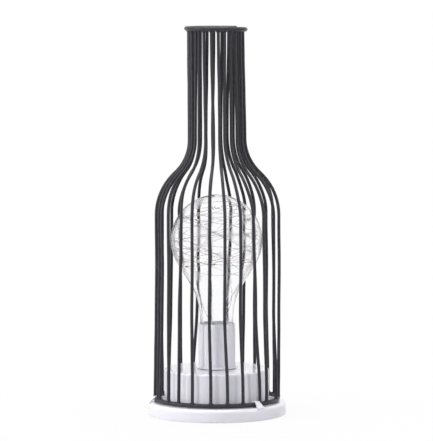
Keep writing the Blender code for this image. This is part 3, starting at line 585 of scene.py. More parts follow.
@dataclass(frozen=True)
class SolderMask(Finish):
    """A circuit board's green mask, with paler tracks under it and tinned pads."""

    worn: Colour = (0.06, 0.33, 0.13)
    roughness: Pair = (0.28, 0.42)
    grain: Triple = (300.0, 4200.0, 0.3)
    relief: Pair = (0.00003, 0.6)
    pad: Colour = (0.66, 0.66, 0.62)
    pads_per_metre: float = 430.0
    pad_reach: float = 0.22
    track_height: float = 2.0

    def layers(self, graph: Graph, grain: Sockets, marks: object) -> dict[str, object]:
        """Lay the tracks and the pads.

        Args:
            graph: The material's graph.
            grain: The grain's output sockets.
            marks: The socket of the marks' mask.

        Returns:
            What goes into the shader's inputs, by their names.
        """
        place = graph.add("ShaderNodeTexCoord").outputs["Object"]
        tracks = graph.add("ShaderNodeTexBrick", {
            "Vector": place, "Scale": 420.0, "Mortar Size": 0.12, "Mortar Smooth": 0.1, "Brick Width": 1.3,
            "Row Height": 0.5}).outputs["Fac"]
        inputs = {"Vector": place, "Scale": self.pads_per_metre}
        cells = graph.add("ShaderNodeTexVoronoi", inputs, feature="F1")
        pads = graph.math("LESS_THAN", cells.outputs["Distance"], self.pad_reach)
        mask = graph.blend(tracks, self.colour, self.worn)
        height = graph.math("ADD", grain["Height"], graph.math("MULTIPLY", tracks, self.track_height))
        return {"Base Color": graph.blend(pads, mask, self.pad),
                "Metallic": graph.math("MULTIPLY", pads, 0.9),
                "Normal": graph.bump(height, *self.relief)}


@dataclass(frozen=True)
class SoftPlastic(Finish):
    """A plain small moulding or sleeve: an even colour with a fine grain and rubbed edges."""

    def layers(self, graph: Graph, grain: Sockets, marks: object) -> dict[str, object]:
        """Rub the edges paler or darker."""
        return {"Base Color": graph.blend(self.rubbed(graph), self.colour, self.worn)}


PAINT = SatinPaint("satin black paint", Slot.BLACK_PAINT, (0.045, 0.043, 0.051))
WHITE = GlossMoulding("gloss white moulding", Slot.WHITE_PLASTIC, (0.83, 0.82, 0.90))
CLEAR = ClearMoulding("clear blown shell", Slot.CLEAR_SHELL, (0.995, 0.995, 1.0))
STRAND = PlatedMetal("enamelled string wire", Slot.STRING_WIRE, (0.58, 0.53, 0.54), (0.42, 0.36, 0.38))
RESIN = ClearMoulding("cast resin drop", Slot.STRING_WIRE, (0.97, 0.95, 0.88), (0.93, 0.90, 0.80),
                      (0.04, 0.16), grain=(700.0, 5000.0, 0.2), marks=(0.0, 0.0, 0.0), relief=(0.00015, 0.5),
                      plain=(("Transmission Weight", 0.7), ("IOR", 1.52)))
PHOSPHOR = SoftPlastic("lamp phosphor", Slot.STRING_WIRE, (0.78, 0.60, 0.10), (0.86, 0.72, 0.25), (0.5, 0.7))
JACKET = PrintedJacket("plain cell jacket", Slot.CELL_JACKET, (0.16, 0.17, 0.19))
NICKEL = PlatedMetal("bright nickel plate", Slot.NICKEL, (0.72, 0.70, 0.66), (0.45, 0.43, 0.40))
ZINC = PlatedMetal("zinc plated steel", Slot.ZINC_STEEL, (0.66, 0.67, 0.69), (0.46, 0.47, 0.50))
RUBBER = BlackRubber("matt black rubber", Slot.RUBBER, (0.045, 0.045, 0.045))
MASK = SolderMask("green solder mask", Slot.BOARD_GREEN, (0.02, 0.20, 0.07))
SLEEVE = SoftPlastic("white lead sleeve", Slot.LEAD_JACKET, (0.80, 0.80, 0.79), (0.70, 0.69, 0.67))
KNOB = SoftPlastic("black switch knob", Slot.BLACK_PLASTIC, (0.02, 0.02, 0.022), (0.07, 0.07, 0.07))


def shade(mesh: bpy.types.Mesh, crisp: Crisp) -> None:
    """Shade a mesh smooth between its crisp edges.

    Args:
        mesh: The mesh.
        crisp: Which of its edges stay crisp.
    """
    mesh.shade_smooth()
    mesh.set_sharp_from_angle(angle=math.radians(crisp.value))


def link(piece_name: str, mesh: bpy.types.Mesh, finish: Finish,
         crisp: Crisp = Crisp.FLAT) -> bpy.types.Object:
    """Put a mesh into the scene as a named piece with one finish.

    Args:
        piece_name: The piece's name.
        mesh: Its mesh.
        finish: Its finish.
        crisp: Which of its edges stay crisp.

    Returns:
        The piece.
    """
    shade(mesh, crisp)
    mesh.materials.clear()
    mesh.materials.append(finish.material())
    piece = bpy.data.objects.new(piece_name, mesh)
    bpy.context.scene.collection.objects.link(piece)
    return piece


def register(piece: bpy.types.Object, nodes: Sequence[str] = (),
             body: Body = Body.LAMP) -> None:
    """Tie a piece to its body and the frame nodes that it stands for, and report it.

    Args:
        piece: The piece.
        nodes: The frame nodes that it replaces.
        body: The body that it rides on.
    """
    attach(piece, body.value)
    if nodes:
        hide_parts(*nodes)
    log.info("%s rides on %s, %d vertices", piece.name, body.value, len(piece.data.vertices))


def from_bmesh(piece_name: str, bm: bmesh.types.BMesh, finish: Finish,
               crisp: Crisp = Crisp.FLAT) -> bpy.types.Object:
    """Turn a bmesh into a piece with its faces pointing out.

    Args:
        piece_name: The piece's name.
        bm: The bmesh, which is freed.
        finish: The piece's finish.
        crisp: Which of its edges stay crisp.

    Returns:
        The piece.
    """
    bmesh.ops.recalc_face_normals(bm, faces=bm.faces)
    mesh = bpy.data.meshes.new(piece_name)
    bm.to_mesh(mesh)
    bm.free()
    return link(piece_name, mesh, finish, crisp)


def make(piece_name: str, bm: bmesh.types.BMesh, finish: Finish, nodes: Sequence[str] = (),
         crisp: Crisp = Crisp.FLAT, body: Body = Body.LAMP) -> None:
    """Turn a bmesh into a piece and register it.

    Args:
        piece_name: The piece's name.
        bm: The bmesh, which is freed.
        finish: The piece's finish.
        nodes: The frame nodes that it replaces.
        crisp: Which of its edges stay crisp.
        body: The body that it rides on.
    """
    register(from_bmesh(piece_name, bm, finish, crisp), nodes, body)


def on_circle(radius: float, azimuth: float, z: float) -> Vector:
    """Return a point at an azimuth in degrees, 0 towards the front and + to the right.

    Args:
        radius: The distance from the lamp's axis.
        azimuth: The azimuth in degrees.
        z: The height.

    Returns:
        The point.
    """
    angle = math.radians(azimuth)
    return Vector((radius * math.sin(angle), -radius * math.cos(angle), z))


def arc(centre: Pair, radius: float, start: float, end: float, steps: int) -> Profile:
    """Return points along an arc.

    Args:
        centre: The arc's middle, across and up.
        radius: Its radius.
        start: Where it starts, in degrees from across towards up.
        end: Where it ends.
        steps: How many chords it has.

    Returns:
        The points, both ends included.
    """
    turns = [math.radians(start + (end - start) * step / steps) for step in range(steps + 1)]
    return [(centre[0] + radius * math.cos(turn), centre[1] + radius * math.sin(turn)) for turn in turns]


def softened(profile: Profile, edge: float, closed: bool = True, steps: int = 3) -> Profile:
    """Round the corners of an outline with small arcs.

    Args:
        profile: The outline's corners.
        edge: How far from each corner its arc starts, at most.
        closed: Whether the last corner joins the first.
        steps: How many chords an arc has.

    Returns:
        The softened outline.
    """
    rounded: Profile = []
    count = len(profile)
    for index, corner in enumerate(profile):
        if not closed and index in (0, count - 1):
            rounded.append(corner)
            continue
        here = Vector(corner)
        before = Vector(profile[index - 1]) - here
        after = Vector(profile[(index + 1) % count]) - here
        if min(before.length, after.length) < NO_LENGTH or before.angle(after) > math.radians(STRAIGHT):
            rounded.append(corner)
            continue
        reach = min(edge, before.length * CORNER_SHARE, after.length * CORNER_SHARE)
        first = here + before.normalized() * reach
        last = here + after.normalized() * reach
        for step in range(steps + 1):
            share = step / steps
            point = first.lerp(here, share).lerp(here.lerp(last, share), share)
            rounded.append((point.x, point.y))
    return rounded


def lathe(profile: Profile, steps: int, closed: bool = True) -> bmesh.types.BMesh:
    """Spin an outline of (radius, height) points round the lamp's axis.

    Args:
        profile: The outline.
        steps: How many steps the turn has.
        closed: Whether the last point joins the first.

    Returns:
        The turned solid.
    """
    bm = bmesh.new()
    verts = [bm.verts.new((radius, 0.0, z)) for radius, z in profile]
    pairs = list(zip(verts, verts[1:]))
    if closed:
        pairs.append((verts[-1], verts[0]))
    edges = [bm.edges.new(pair) for pair in pairs]
    bmesh.ops.spin(bm, geom=verts + edges, cent=(0, 0, 0), axis=(0, 0, 1), dvec=(0, 0, 0),
                   angle=2 * math.pi, steps=steps, use_merge=True)
    bmesh.ops.remove_doubles(bm, verts=bm.verts, dist=SEAM_WELD)
    return bm


def sweep(bm: bmesh.types.BMesh, path: Sequence[Vector], radii: Sequence[float], sides: int,
          ring: bool = False) -> None:
    """Add a round rod along a path, with closed ends.

    Args:
        bm: The bmesh that it is added to.
        path: The points of its centre line.
        radii: Its radius at each point.
        sides: How many sides it has.
        ring: Whether its end joins its start.
    """
    count = len(path)
    ahead = [(path[(i + 1) % count] - path[i - 1]) if ring else
             (path[min(i + 1, count - 1)] - path[max(i - 1, 0)]) for i in range(count)]
    side = ahead[0].normalized().orthogonal().normalized()
    loops = []
    for point, way, radius in zip(path, ahead, radii):
        way = way.normalized()
        side = (side - way * side.dot(way)).normalized()
        up = way.cross(side)
        turns = [2 * math.pi * k / sides for k in range(sides)]
        loops.append([bm.verts.new(point + (side * math.cos(t) + up * math.sin(t)) * radius) for t in turns])
    pairs = list(zip(loops, loops[1:]))
    if ring:
        last, first = loops[-1], loops[0]
        start = min(range(sides), key=lambda k: (last[0].co - first[k].co).length)
        onward = (last[1].co - first[(start + 1) % sides].co).length
        back = (last[1].co - first[start - 1].co).length
        way = 1 if onward < back else -1
        pairs.append((last, [first[(start + way * k) % sides] for k in range(sides)]))
    for low, high in pairs:
        for k in range(sides):
            bm.faces.new((low[k], low[(k + 1) % sides], high[(k + 1) % sides], high[k]))
    if not ring:
        bm.faces.new(reversed(loops[0]))
        bm.faces.new(loops[-1])


def rounded_ends(path: list[Vector], radius: float, steps: int = 3) -> tuple[list[Vector], list[float]]:
    """Dome both ends of a rod's path.

    Args:
        path: The points of its centre line.
        radius: The rod's radius.
        steps: How many rings a dome has.

    Returns:
        The longer path, and a radius for each of its points.
    """
    head = (path[0] - path[1]).normalized()
    tail = (path[-1] - path[-2]).normalized()
    turns = [math.radians(DOME_END * step / steps) for step in range(1, steps + 1)]
    start = [path[0] + head * radius * DOME_RISE * math.sin(turn) for turn in reversed(turns)]
    end = [path[-1] + tail * radius * DOME_RISE * math.sin(turn) for turn in turns]
    small = [radius * math.cos(turn) for turn in turns]
    return start + path + end, list(reversed(small)) + [radius] * len(path) + small


def smooth_route(knots: Sequence[Vector], steps: int) -> list[Vector]:
    """Return a smooth curve through a few points.

    Args:
        knots: The points that the curve passes through.
        steps: How many chords lie between two of them.

    Returns:
        The curve's points.
    """
    ends = [2 * knots[0] - knots[1], *knots, 2 * knots[-1] - knots[-2]]
    route = []
    for before, start, end, after in zip(ends, ends[1:], ends[2:], ends[3:]):
        for step in range(steps):
            t = step / steps
            bend = (2 * before - 5 * start + 4 * end - after) * t ** 2
            twist = (3 * start - before - 3 * end + after) * t ** 3
            route.append(0.5 * (2 * start + (end - before) * t + bend + twist))
    route.append(knots[-1].copy())
    return route


def prism(bm: bmesh.types.BMesh, outline: Profile, low: float, high: float) -> None:
    """Add a straight prism over an outline of (x, y) points.

    Args:
        bm: The bmesh that it is added to.
        outline: The outline.
        low: Where it starts.
        high: Where it ends.
    """
    face = bm.faces.new([bm.verts.new((x, y, low)) for x, y in outline])
    moved = bmesh.ops.extrude_face_region(bm, geom=[face])["geom"]
    rise = [item for item in moved if isinstance(item, bmesh.types.BMVert)]
    bmesh.ops.translate(bm, verts=rise, vec=(0, 0, high - low))


def box_outline(centre: Pair, width: float, depth: float) -> Profile:
    """Return the corners of a rectangle.

    Args:
        centre: Its middle.
        width: Its size along X.
        depth: Its size along Y.

    Returns:
        The corners.
    """
    (x, y), half_x, half_y = centre, width / 2, depth / 2
    left, right, near, far = x - half_x, x + half_x, y - half_y, y + half_y
    return [(left, near), (right, near), (right, far), (left, far)]


def cross_outline(reach: float, half: float) -> Profile:
    """Return the corners of an upright cross.

    Args:
        reach: How long its arms are from the middle.
        half: Half the width of its arms.

    Returns:
        The corners.
    """
    outline: Profile = []
    quarter = [(-reach, -half), (-half, -half), (-half, -reach)]
    for _ in range(4):
        outline += quarter
        quarter = [(-y, x) for x, y in quarter]
    return outline


def eased_value(z: float, places: Sequence[float], values: Sequence[float]) -> float:
    """Return a value that eases from one set place to the next, and stays level beyond the ends.

    Args:
        z: Where it is wanted.
        places: The set places, in rising order.
        values: The value at each of them.

    Returns:
        The value.
    """
    if z <= places[0]:
        return values[0]
    for low, high, start, end in zip(places, places[1:], values, values[1:]):
        if z <= high:
            share = (z - low) / (high - low)
            return start + (end - start) * share * share * (3 - 2 * share)
    return values[-1]


def twisted_pair(line: Sequence[Vector], turns: Sequence[float], apart: float, radius: float, sides: int,
                 upright: Triple) -> bmesh.types.BMesh:
    """Wind two round strands about a line.

    Args:
        line: The line's points.
        turns: How far the pair is turned at each point, in radians.
        apart: How far each strand's middle stands from the line.
        radius: Each strand's radius.
        sides: How many sides it has.
        upright: A direction that the line never takes, from which the turns are counted.

    Returns:
        Both strands.
    """
    bm = bmesh.new()
    last = len(line) - 1
    for side in (0.0, math.pi):
        path = []
        for step, point in enumerate(line):
            ahead = (line[min(step + 1, last)] - line[max(step - 1, 0)]).normalized()
            across = ahead.cross(Vector(upright)).normalized()
            up = across.cross(ahead)
            angle = side + turns[step]
            path.append(point + (across * math.cos(angle) + up * math.sin(angle)) * apart)
        sweep(bm, path, [radius] * len(path), sides)
    return bm


def alter(piece: bpy.types.Object, kind: str, **settings: object) -> None:
    """Change a piece's mesh by one modifier, and apply it.

    Args:
        piece: The piece.
        kind: The modifier's type.
        **settings: The modifier's own settings.
    """
    modifier = piece.modifiers.new(kind, kind)
    for key, value in settings.items():
        setattr(modifier, key, value)
    graph = bpy.context.evaluated_depsgraph_get()
    graph.update()
    mesh = bpy.data.meshes.new_from_object(piece.evaluated_get(graph))
    piece.modifiers.clear()
    old = piece.data
    piece.data = mesh
    bpy.data.meshes.remove(old)


def cut(piece: bpy.types.Object, tool: bmesh.types.BMesh) -> None:
    """Cut a solid from a piece.

    Args:
        piece: The piece.
        tool: The other solid, which is freed.
    """
    mesh = bpy.data.meshes.new("tool")
    bmesh.ops.recalc_face_normals(tool, faces=tool.faces)
    tool.to_mesh(mesh)
    tool.free()
    helper = bpy.data.objects.new("tool", mesh)
    bpy.context.scene.collection.objects.link(helper)
    alter(piece, "BOOLEAN", operation="DIFFERENCE", solver="EXACT", object=helper)
    bpy.data.objects.remove(helper, do_unlink=True)


def eased(node: str, piece_name: str, finish: Finish, edge: float, body: Body = Body.LAMP) -> None:
    """Copy a flat-sided frame node as a new piece, round its edges softly and keep its flats even.

    Args:
        node: The frame node, which the piece replaces.
        piece_name: The new piece's name.
        finish: The new piece's finish.
        edge: How wide its edges are rounded.
        body: The body that it rides on.
    """
    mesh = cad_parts[node].data.copy()
    mesh.name = piece_name
    bm = bmesh.new()
    bm.from_mesh(mesh)
    bmesh.ops.remove_doubles(bm, verts=bm.verts, dist=FRAME_WELD)
    flat = [e for e in bm.edges if len(e.link_faces) == 2 and e.calc_face_angle(0.0) < math.radians(1.0)]
    bmesh.ops.dissolve_edges(bm, edges=flat, use_verts=True)
    bm.to_mesh(mesh)
    bm.free()
    piece = link(piece_name, mesh, finish)
    alter(piece, "BEVEL", width=edge, segments=3, limit_method="ANGLE", angle_limit=math.radians(40),
          use_clamp_overlap=True)
    shade(piece.data, Crisp.SHELL)
    alter(piece, "WEIGHTED_NORMAL", mode="FACE_AREA", weight=100, keep_sharp=True)
    register(piece, (node,), body)


@dataclass
class WireCage:
    """The bottle-shaped cage: two rods, 24 wires between them, and the welds that join them."""

    wire_diameter: float = 0.0021
    rod_diameter: float = 0.0030
    first_azimuth: float = -90.0
    body_radius: float = 0.0402
    shoulder_start: float = 0.1315
    shoulder_bend: float = 0.0376
    neck_bend: float = 0.0294
    neck_foot_radius: float = 0.0182
    neck_top_radius: float = 0.0177
    rim_radius: float = 0.0192
    rim_z: float = 0.2532
    base_ring_z: float = 0.0107
    wire_foot_z: float = 0.0125
    wire_top_z: float = 0.2515
    belly: float = 0.0004
    belly_top: float = 0.100
    belly_fade: float = 0.090
    foot_lift: float = 0.32
    top_sink: float = 0.30
    wire_steps: int = 84
    wire_sides: int = 18
    stray: float = 0.00022
    strays_per_metre: float = 26.0
    rim_steps: int = 120
    ring_steps: int = 160
    rod_sides: int = 20
    splice_azimuth: float = 138.0
    splice_drop: float = 0.0009
    splice_parts: float = 3.2
    rim_wobble: float = 0.00012
    rim_lean: float = 0.7
    ring_wobble: float = 0.00008
    foot_weld: Triple = (0.00150, 0.00132, 0.00072)
    foot_weld_rise: float = 0.0006
    top_weld: Triple = (0.00142, 0.00128, 0.00078)
    top_weld_out: float = 0.0003
    top_weld_drop: float = 0.0008
    weld_lumps: float = 0.16
    weld_spread: float = 0.25
    # Degrees that each wire stands off its even place, at the six heights in self.places.
    offsets: tuple[tuple[float, ...], ...] = (
        (2.0, 2.2, 3.3, 5.2, 4.0, 3.8), (3.9, 3.4, 3.2, 3.2, 3.3, 3.7),
        (-5.6, -3.6, -4.9, -3.6, -1.2, -0.5), (-5.3, -7.5, -7.9, -10.6, -5.6, -1.0),
        (-7.5, -7.9, -5.6, -8.6, -9.8, -7.3), (-7.9, -9.5, -9.4, -10.4, -9.2, -10.6),
        (-5.5, -7.7, -7.5, -8.3, -7.3, -9.1), (-5.2, -8.6, -8.4, -9.3, -9.5, -9.7),
        (-5.3, -8.8, -8.6, -10.4, -14.5, -11.2), (-1.5, -7.7, -10.1, -12.6, -14.4, -13.0),
        (-7.0, -11.3, -12.6, -14.0, -14.1, -15.0), (-1.7, -10.7, -10.7, -11.5, -12.0, -11.4),
        (-3.5, -6.2, -6.7, -5.6, -5.4, -5.3), (5.5, 8.2, 10.4, 7.1, 5.6, 4.9),
        (3.1, 6.6, 7.0, 9.8, 6.7, 6.0), (6.6, 7.5, 7.7, 9.3, 8.8, 4.4),
        (5.0, 4.4, 2.8, 6.0, 8.5, 1.6), (2.5, 5.3, 2.1, 5.1, 6.9, 1.9),
        (4.5, 7.6, 7.8, 7.2, 9.5, 4.0), (8.8, 4.8, 3.4, 4.5, 8.5, 3.5),
        (6.5, 7.9, 9.6, 6.0, 6.3, 4.7), (7.3, 5.4, 4.6, 2.5, 8.3, 0.4),
        (3.0, 7.2, 5.4, 3.2, 2.7, -2.2), (1.0, 1.0, 1.0, 1.8, 3.1, 4.1),
    )
    # The cage's lean to the right, as (height, push).
    lean: tuple[Pair, ...] = (
        (0.0115, 0.00007), (0.0355, 0.00035), (0.0625, 0.00064), (0.1015, 0.00089), (0.1280, 0.00068),
        (0.1575, 0.00062), (0.1870, 0.00020), (0.2105, -0.00009), (0.2340, -0.00050), (0.2495, -0.00062),
    )

    def __post_init__(self) -> None:
        """Work out the bend's angle and the levels that the sizes give."""
        bends = self.shoulder_bend + self.neck_bend
        self.bend_angle = math.acos(1 - (self.body_radius - self.neck_foot_radius) / bends)
        self.neck_foot_z = self.shoulder_start + bends * math.sin(self.bend_angle)
        self.foot_z = self.base_ring_z + self.rod_diameter * self.foot_lift
        self.top_z = self.rim_z - self.rod_diameter * self.top_sink
        self.places = (self.wire_foot_z, (self.wire_foot_z + self.shoulder_start) / 2, self.shoulder_start,
                       (self.shoulder_start + self.neck_foot_z) / 2, self.neck_foot_z, self.wire_top_z)
        self.lean_heights, self.lean_pushes = zip(*self.lean)

    def radius_at(self, z: float) -> float:
        """Return how far a wire's centre line stands from the axis.

        Args:
            z: The height.

        Returns:
            The distance.
        """
        if z <= self.shoulder_start:
            return self.body_radius + self.belly * min(max((self.belly_top - z) / self.belly_fade, 0.0), 1.0)
        rise = z - self.shoulder_start
        first = self.shoulder_bend * math.sin(self.bend_angle)
        if rise <= first:
            return self.body_radius - self.shoulder_bend + math.sqrt(self.shoulder_bend ** 2 - rise ** 2)
        if z <= self.neck_foot_z:
            left = self.neck_foot_z - z
            return self.neck_foot_radius + self.neck_bend - math.sqrt(self.neck_bend ** 2 - left ** 2)
        share = (z - self.neck_foot_z) / (self.top_z - self.neck_foot_z)
        return self.neck_foot_radius + (self.neck_top_radius - self.neck_foot_radius) * share

    def azimuth_at(self, index: int, z: float) -> float:
        """Return a wire's azimuth in degrees, eased between its six set places."""
        even = self.first_azimuth + index * 360.0 / len(self.offsets)
        return even + eased_value(z, self.places, self.offsets[index])

    def wire_path(self, index: int) -> list[Vector]:
        """Return a wire's centre line, with the slight unevenness of hand bending and the cage's lean.

        Args:
            index: The wire's number, from 0.

        Returns:
            The points from its foot to its top.
        """
        path = []
        for step in range(self.wire_steps + 1):
            share = step / self.wire_steps
            z = self.foot_z + (self.top_z - self.foot_z) * share
            point = on_circle(self.radius_at(z), self.azimuth_at(index, z), z)
            place = Vector((index * WIRE_SEED, 0.0, z * self.strays_per_metre))
            stray = noise.noise_vector(place) * self.stray * math.sin(math.pi * share)
            lean = eased_value(z, self.lean_heights, self.lean_pushes)
            path.append(point + Vector((lean + stray.x, stray.y, 0.0)))
        return path

    def rim_path(self) -> list[Vector]:
        """Return the rim rod's centre line: it meets itself with a small step at its splice."""
        shift = Vector((self.lean_pushes[-1] * self.rim_lean, 0.0, 0.0))
        path = []
        for step in range(self.rim_steps + 1):
            share = step / self.rim_steps
            azimuth = self.splice_azimuth - 360.0 * share
            drop = self.splice_drop * max(0.0, 1 - share * self.splice_parts) ** 0.8
            radius = self.rim_radius + self.rim_wobble * math.sin(math.radians(3 * azimuth))
            path.append(on_circle(radius, azimuth, self.rim_z - drop) + shift)
        return path

    def ring_path(self) -> list[Vector]:
        """Return the base rod's centre line, which isn't quite round."""
        path = []
        for step in range(self.ring_steps):
            azimuth = 360.0 * step / self.ring_steps
            radius = self.body_radius + self.ring_wobble * math.sin(math.radians(2 * azimuth + 40))
            path.append(on_circle(radius, azimuth, self.base_ring_z))
        return path

    def build_rods(self) -> None:
        """Make the rim rod and the base rod."""
        for title, path, ring in (("rim", self.rim_path(), False), ("base", self.ring_path(), True)):
            rod = bmesh.new()
            sweep(rod, path, [self.rod_diameter / 2] * len(path), self.rod_sides, ring)
            make(f"{title}_rod", rod, PAINT, (f"cage_{title}_ring",))

    def build_wires(self, paths: Sequence[list[Vector]]) -> None:
        """Make the wires.

        Args:
            paths: Their centre lines.
        """
        for number, path in enumerate(paths, 1):
            wire = bmesh.new()
            sweep(wire, *rounded_ends(path, self.wire_diameter / 2), self.wire_sides)
            make(f"wire_{number:02d}", wire, PAINT, (f"cage_wire_{number:02d}",), Crisp.ROD)

    def add_weld(self, bm: bmesh.types.BMesh, place: Vector, size: Triple, seed: float) -> None:
        """Add one weld nugget, a small uneven lump.

        Args:
            bm: The bmesh that it is added to.
            place: Its middle.
            size: Its half sizes: across, outwards and up.
            seed: A number that makes its unevenness its own.
        """
        lump = bmesh.ops.create_icosphere(bm, subdivisions=3, radius=1.0)["verts"]
        turn = Matrix.Rotation(math.atan2(place.x, -place.y), 3, "Z")
        for vert in lump:
            swell = 1.0 + self.weld_lumps * noise.noise(vert.co * 1.7 + Vector((seed, 0.0, seed)))
            scaled = Vector((vert.co.x * size[0], vert.co.y * size[1], vert.co.z * size[2])) * swell
            vert.co = place + turn @ scaled

    def build_welds(self, paths: Sequence[list[Vector]]) -> None:
        """Make the welds at the wires' feet and tops.

        Args:
            paths: The wires' centre lines.
        """
        feet, tops = bmesh.new(), bmesh.new()
        for index, path in enumerate(paths):
            swell = 1.0 + self.weld_spread * noise.noise(Vector((index * 3.1, 4.0, 0.0)))
            foot = path[0] + Vector((0.0, 0.0, self.foot_weld_rise))
            outwards = Vector((path[-1].x, path[-1].y, 0.0)).normalized()
            top = path[-1] + outwards * self.top_weld_out - Vector((0.0, 0.0, self.top_weld_drop))
            for bm, place, (wide, deep, tall), seed in (
                    (feet, foot, self.foot_weld, index * 2.7), (tops, top, self.top_weld, index * 1.9 + 40)):
                self.add_weld(bm, place, (wide * swell, deep, tall * swell), seed)
        make("foot_welds", feet, PAINT, crisp=Crisp.LUMP)
        make("rim_welds", tops, PAINT, crisp=Crisp.LUMP)

    def build(self) -> None:
        """Make the whole cage."""
        paths = [self.wire_path(index) for index in range(len(self.offsets))]
        self.build_rods()
        self.build_wires(paths)
        self.build_welds(paths)


@dataclass
class BaseShell:
    """The white base: a disc with the battery drum on it, and three clips that hold the cage."""

    disc_radius: float = 0.04565
    disc_top: float = 0.0089
    disc_round: float = 0.0022
    disc_foot_chamfer: float = 0.0008
    drum_radius: float = 0.0344
    drum_top: float = 0.0304
    drum_round: float = 0.0014
    drum_foot_fillet: float = 0.0008
    wall: float = 0.0020
    foot_z: float = 0.0005
    hole_radius: float = 0.0083
    steps: int = 192
    inner_edge: float = 0.0005
    clip_azimuths: Triple = (39.36, 161.25, -79.55)
    clip_widths: Pair = (0.0012, 0.0062)
    clip_finger: float = 0.0014
    clip_nose: float = 0.0005
    clip_slope: float = 0.96
    clip_tip: Pair = (0.0455, 0.0088)
    clip_lip: Pair = (0.0006, 0.0002)
    clip_round: float = 0.0003
    clip_edge: float = 0.00018
    ring_radius: float = 0.0402
    ring_z: float = 0.0107
    ring_room: float = 0.0016

    def outline(self) -> Profile:
        """Return the shell's outline, outside from its foot to its hole and back inside."""
        disc, drum = self.disc_radius, self.drum_radius
        chamfer, fillet = self.disc_foot_chamfer, self.drum_foot_fillet
        points: Profile = [(disc - chamfer, self.foot_z)]
        points += arc((disc - chamfer, self.foot_z + chamfer), chamfer, -80, 0, 5)
        points += arc((disc - self.disc_round, self.disc_top - self.disc_round), self.disc_round, 0, 90, 9)
        points += reversed(arc((drum + fillet, self.disc_top + fillet), fillet, 180, 270, 5))
        points += arc((drum - self.drum_round, self.drum_top - self.drum_round), self.drum_round, 0, 90, 10)
        roof = self.drum_top - self.wall
        shelf = self.disc_top - self.wall
        inner = [(self.hole_radius, self.drum_top), (self.hole_radius, roof), (drum - self.wall, roof),
                 (drum - self.wall, shelf), (disc - self.wall, shelf), (disc - self.wall, self.foot_z)]
        return points + softened(inner, self.inner_edge, closed=False)

    def clip_outline(self) -> Profile:
        """Return a clip's outline across the rod that it holds, as (distance from the axis, height)."""
        radius, room = self.ring_radius, self.ring_room
        out = radius - room
        inside = out - self.clip_finger
        tip, tip_z = self.clip_tip
        top = self.ring_z + room + self.clip_nose
        brow = tip - (top - tip_z) / self.clip_slope
        hollow = arc((radius, self.ring_z), room, 20, 180, 12)
        lip_in, lip_down = self.clip_lip
        low = tip_z - self.clip_nose
        nose = [(tip - lip_in, low - lip_down), (tip, low), (tip, tip_z)]
        root = self.disc_top - self.wall / 2
        body = [(tip, tip_z), (brow, top), (inside, top), (inside, root), (out, root), (out, self.ring_z)]
        return softened(body, self.clip_round, closed=False)[1:] + list(reversed(hollow)) + nose

    def clip(self, azimuth: float) -> bmesh.types.BMesh:
        """Make one clip, a finger with a wedge nose that widens outwards.

        Args:
            azimuth: Where it stands.

        Returns:
            The clip.
        """
        outline = self.clip_outline()
        start, end = min(outline)[0], max(outline)[0]
        narrow, wide = self.clip_widths
        bm = bmesh.new()
        sides = []
        for half in (-0.5, 0.5):
            widths = [narrow + (wide - narrow) * (across - start) / (end - start) for across, _ in outline]
            sides.append([bm.verts.new((half * width, -across, z))
                          for width, (across, z) in zip(widths, outline)])
            bm.faces.new(sides[-1])
        left, right = sides
        for k in range(len(outline)):
            bm.faces.new((left[k - 1], left[k], right[k], right[k - 1]))
        bmesh.ops.recalc_face_normals(bm, faces=bm.faces)
        rims = [edge for edge in bm.edges if edge.calc_face_angle(0.0) > math.radians(60)]
        bmesh.ops.bevel(bm, geom=rims, offset=self.clip_edge, segments=2, affect="EDGES", clamp_overlap=True)
        bmesh.ops.transform(bm, matrix=Matrix.Rotation(math.radians(azimuth), 4, "Z"), verts=bm.verts)
        return bm

    def build(self) -> None:
        """Make the shell and its clips."""
        make("base_shell", lathe(self.outline(), self.steps), WHITE, ("base_housing",), Crisp.TURNED)
        for number, azimuth in enumerate(self.clip_azimuths, 1):
            make(f"clip_{number}", self.clip(azimuth), WHITE)


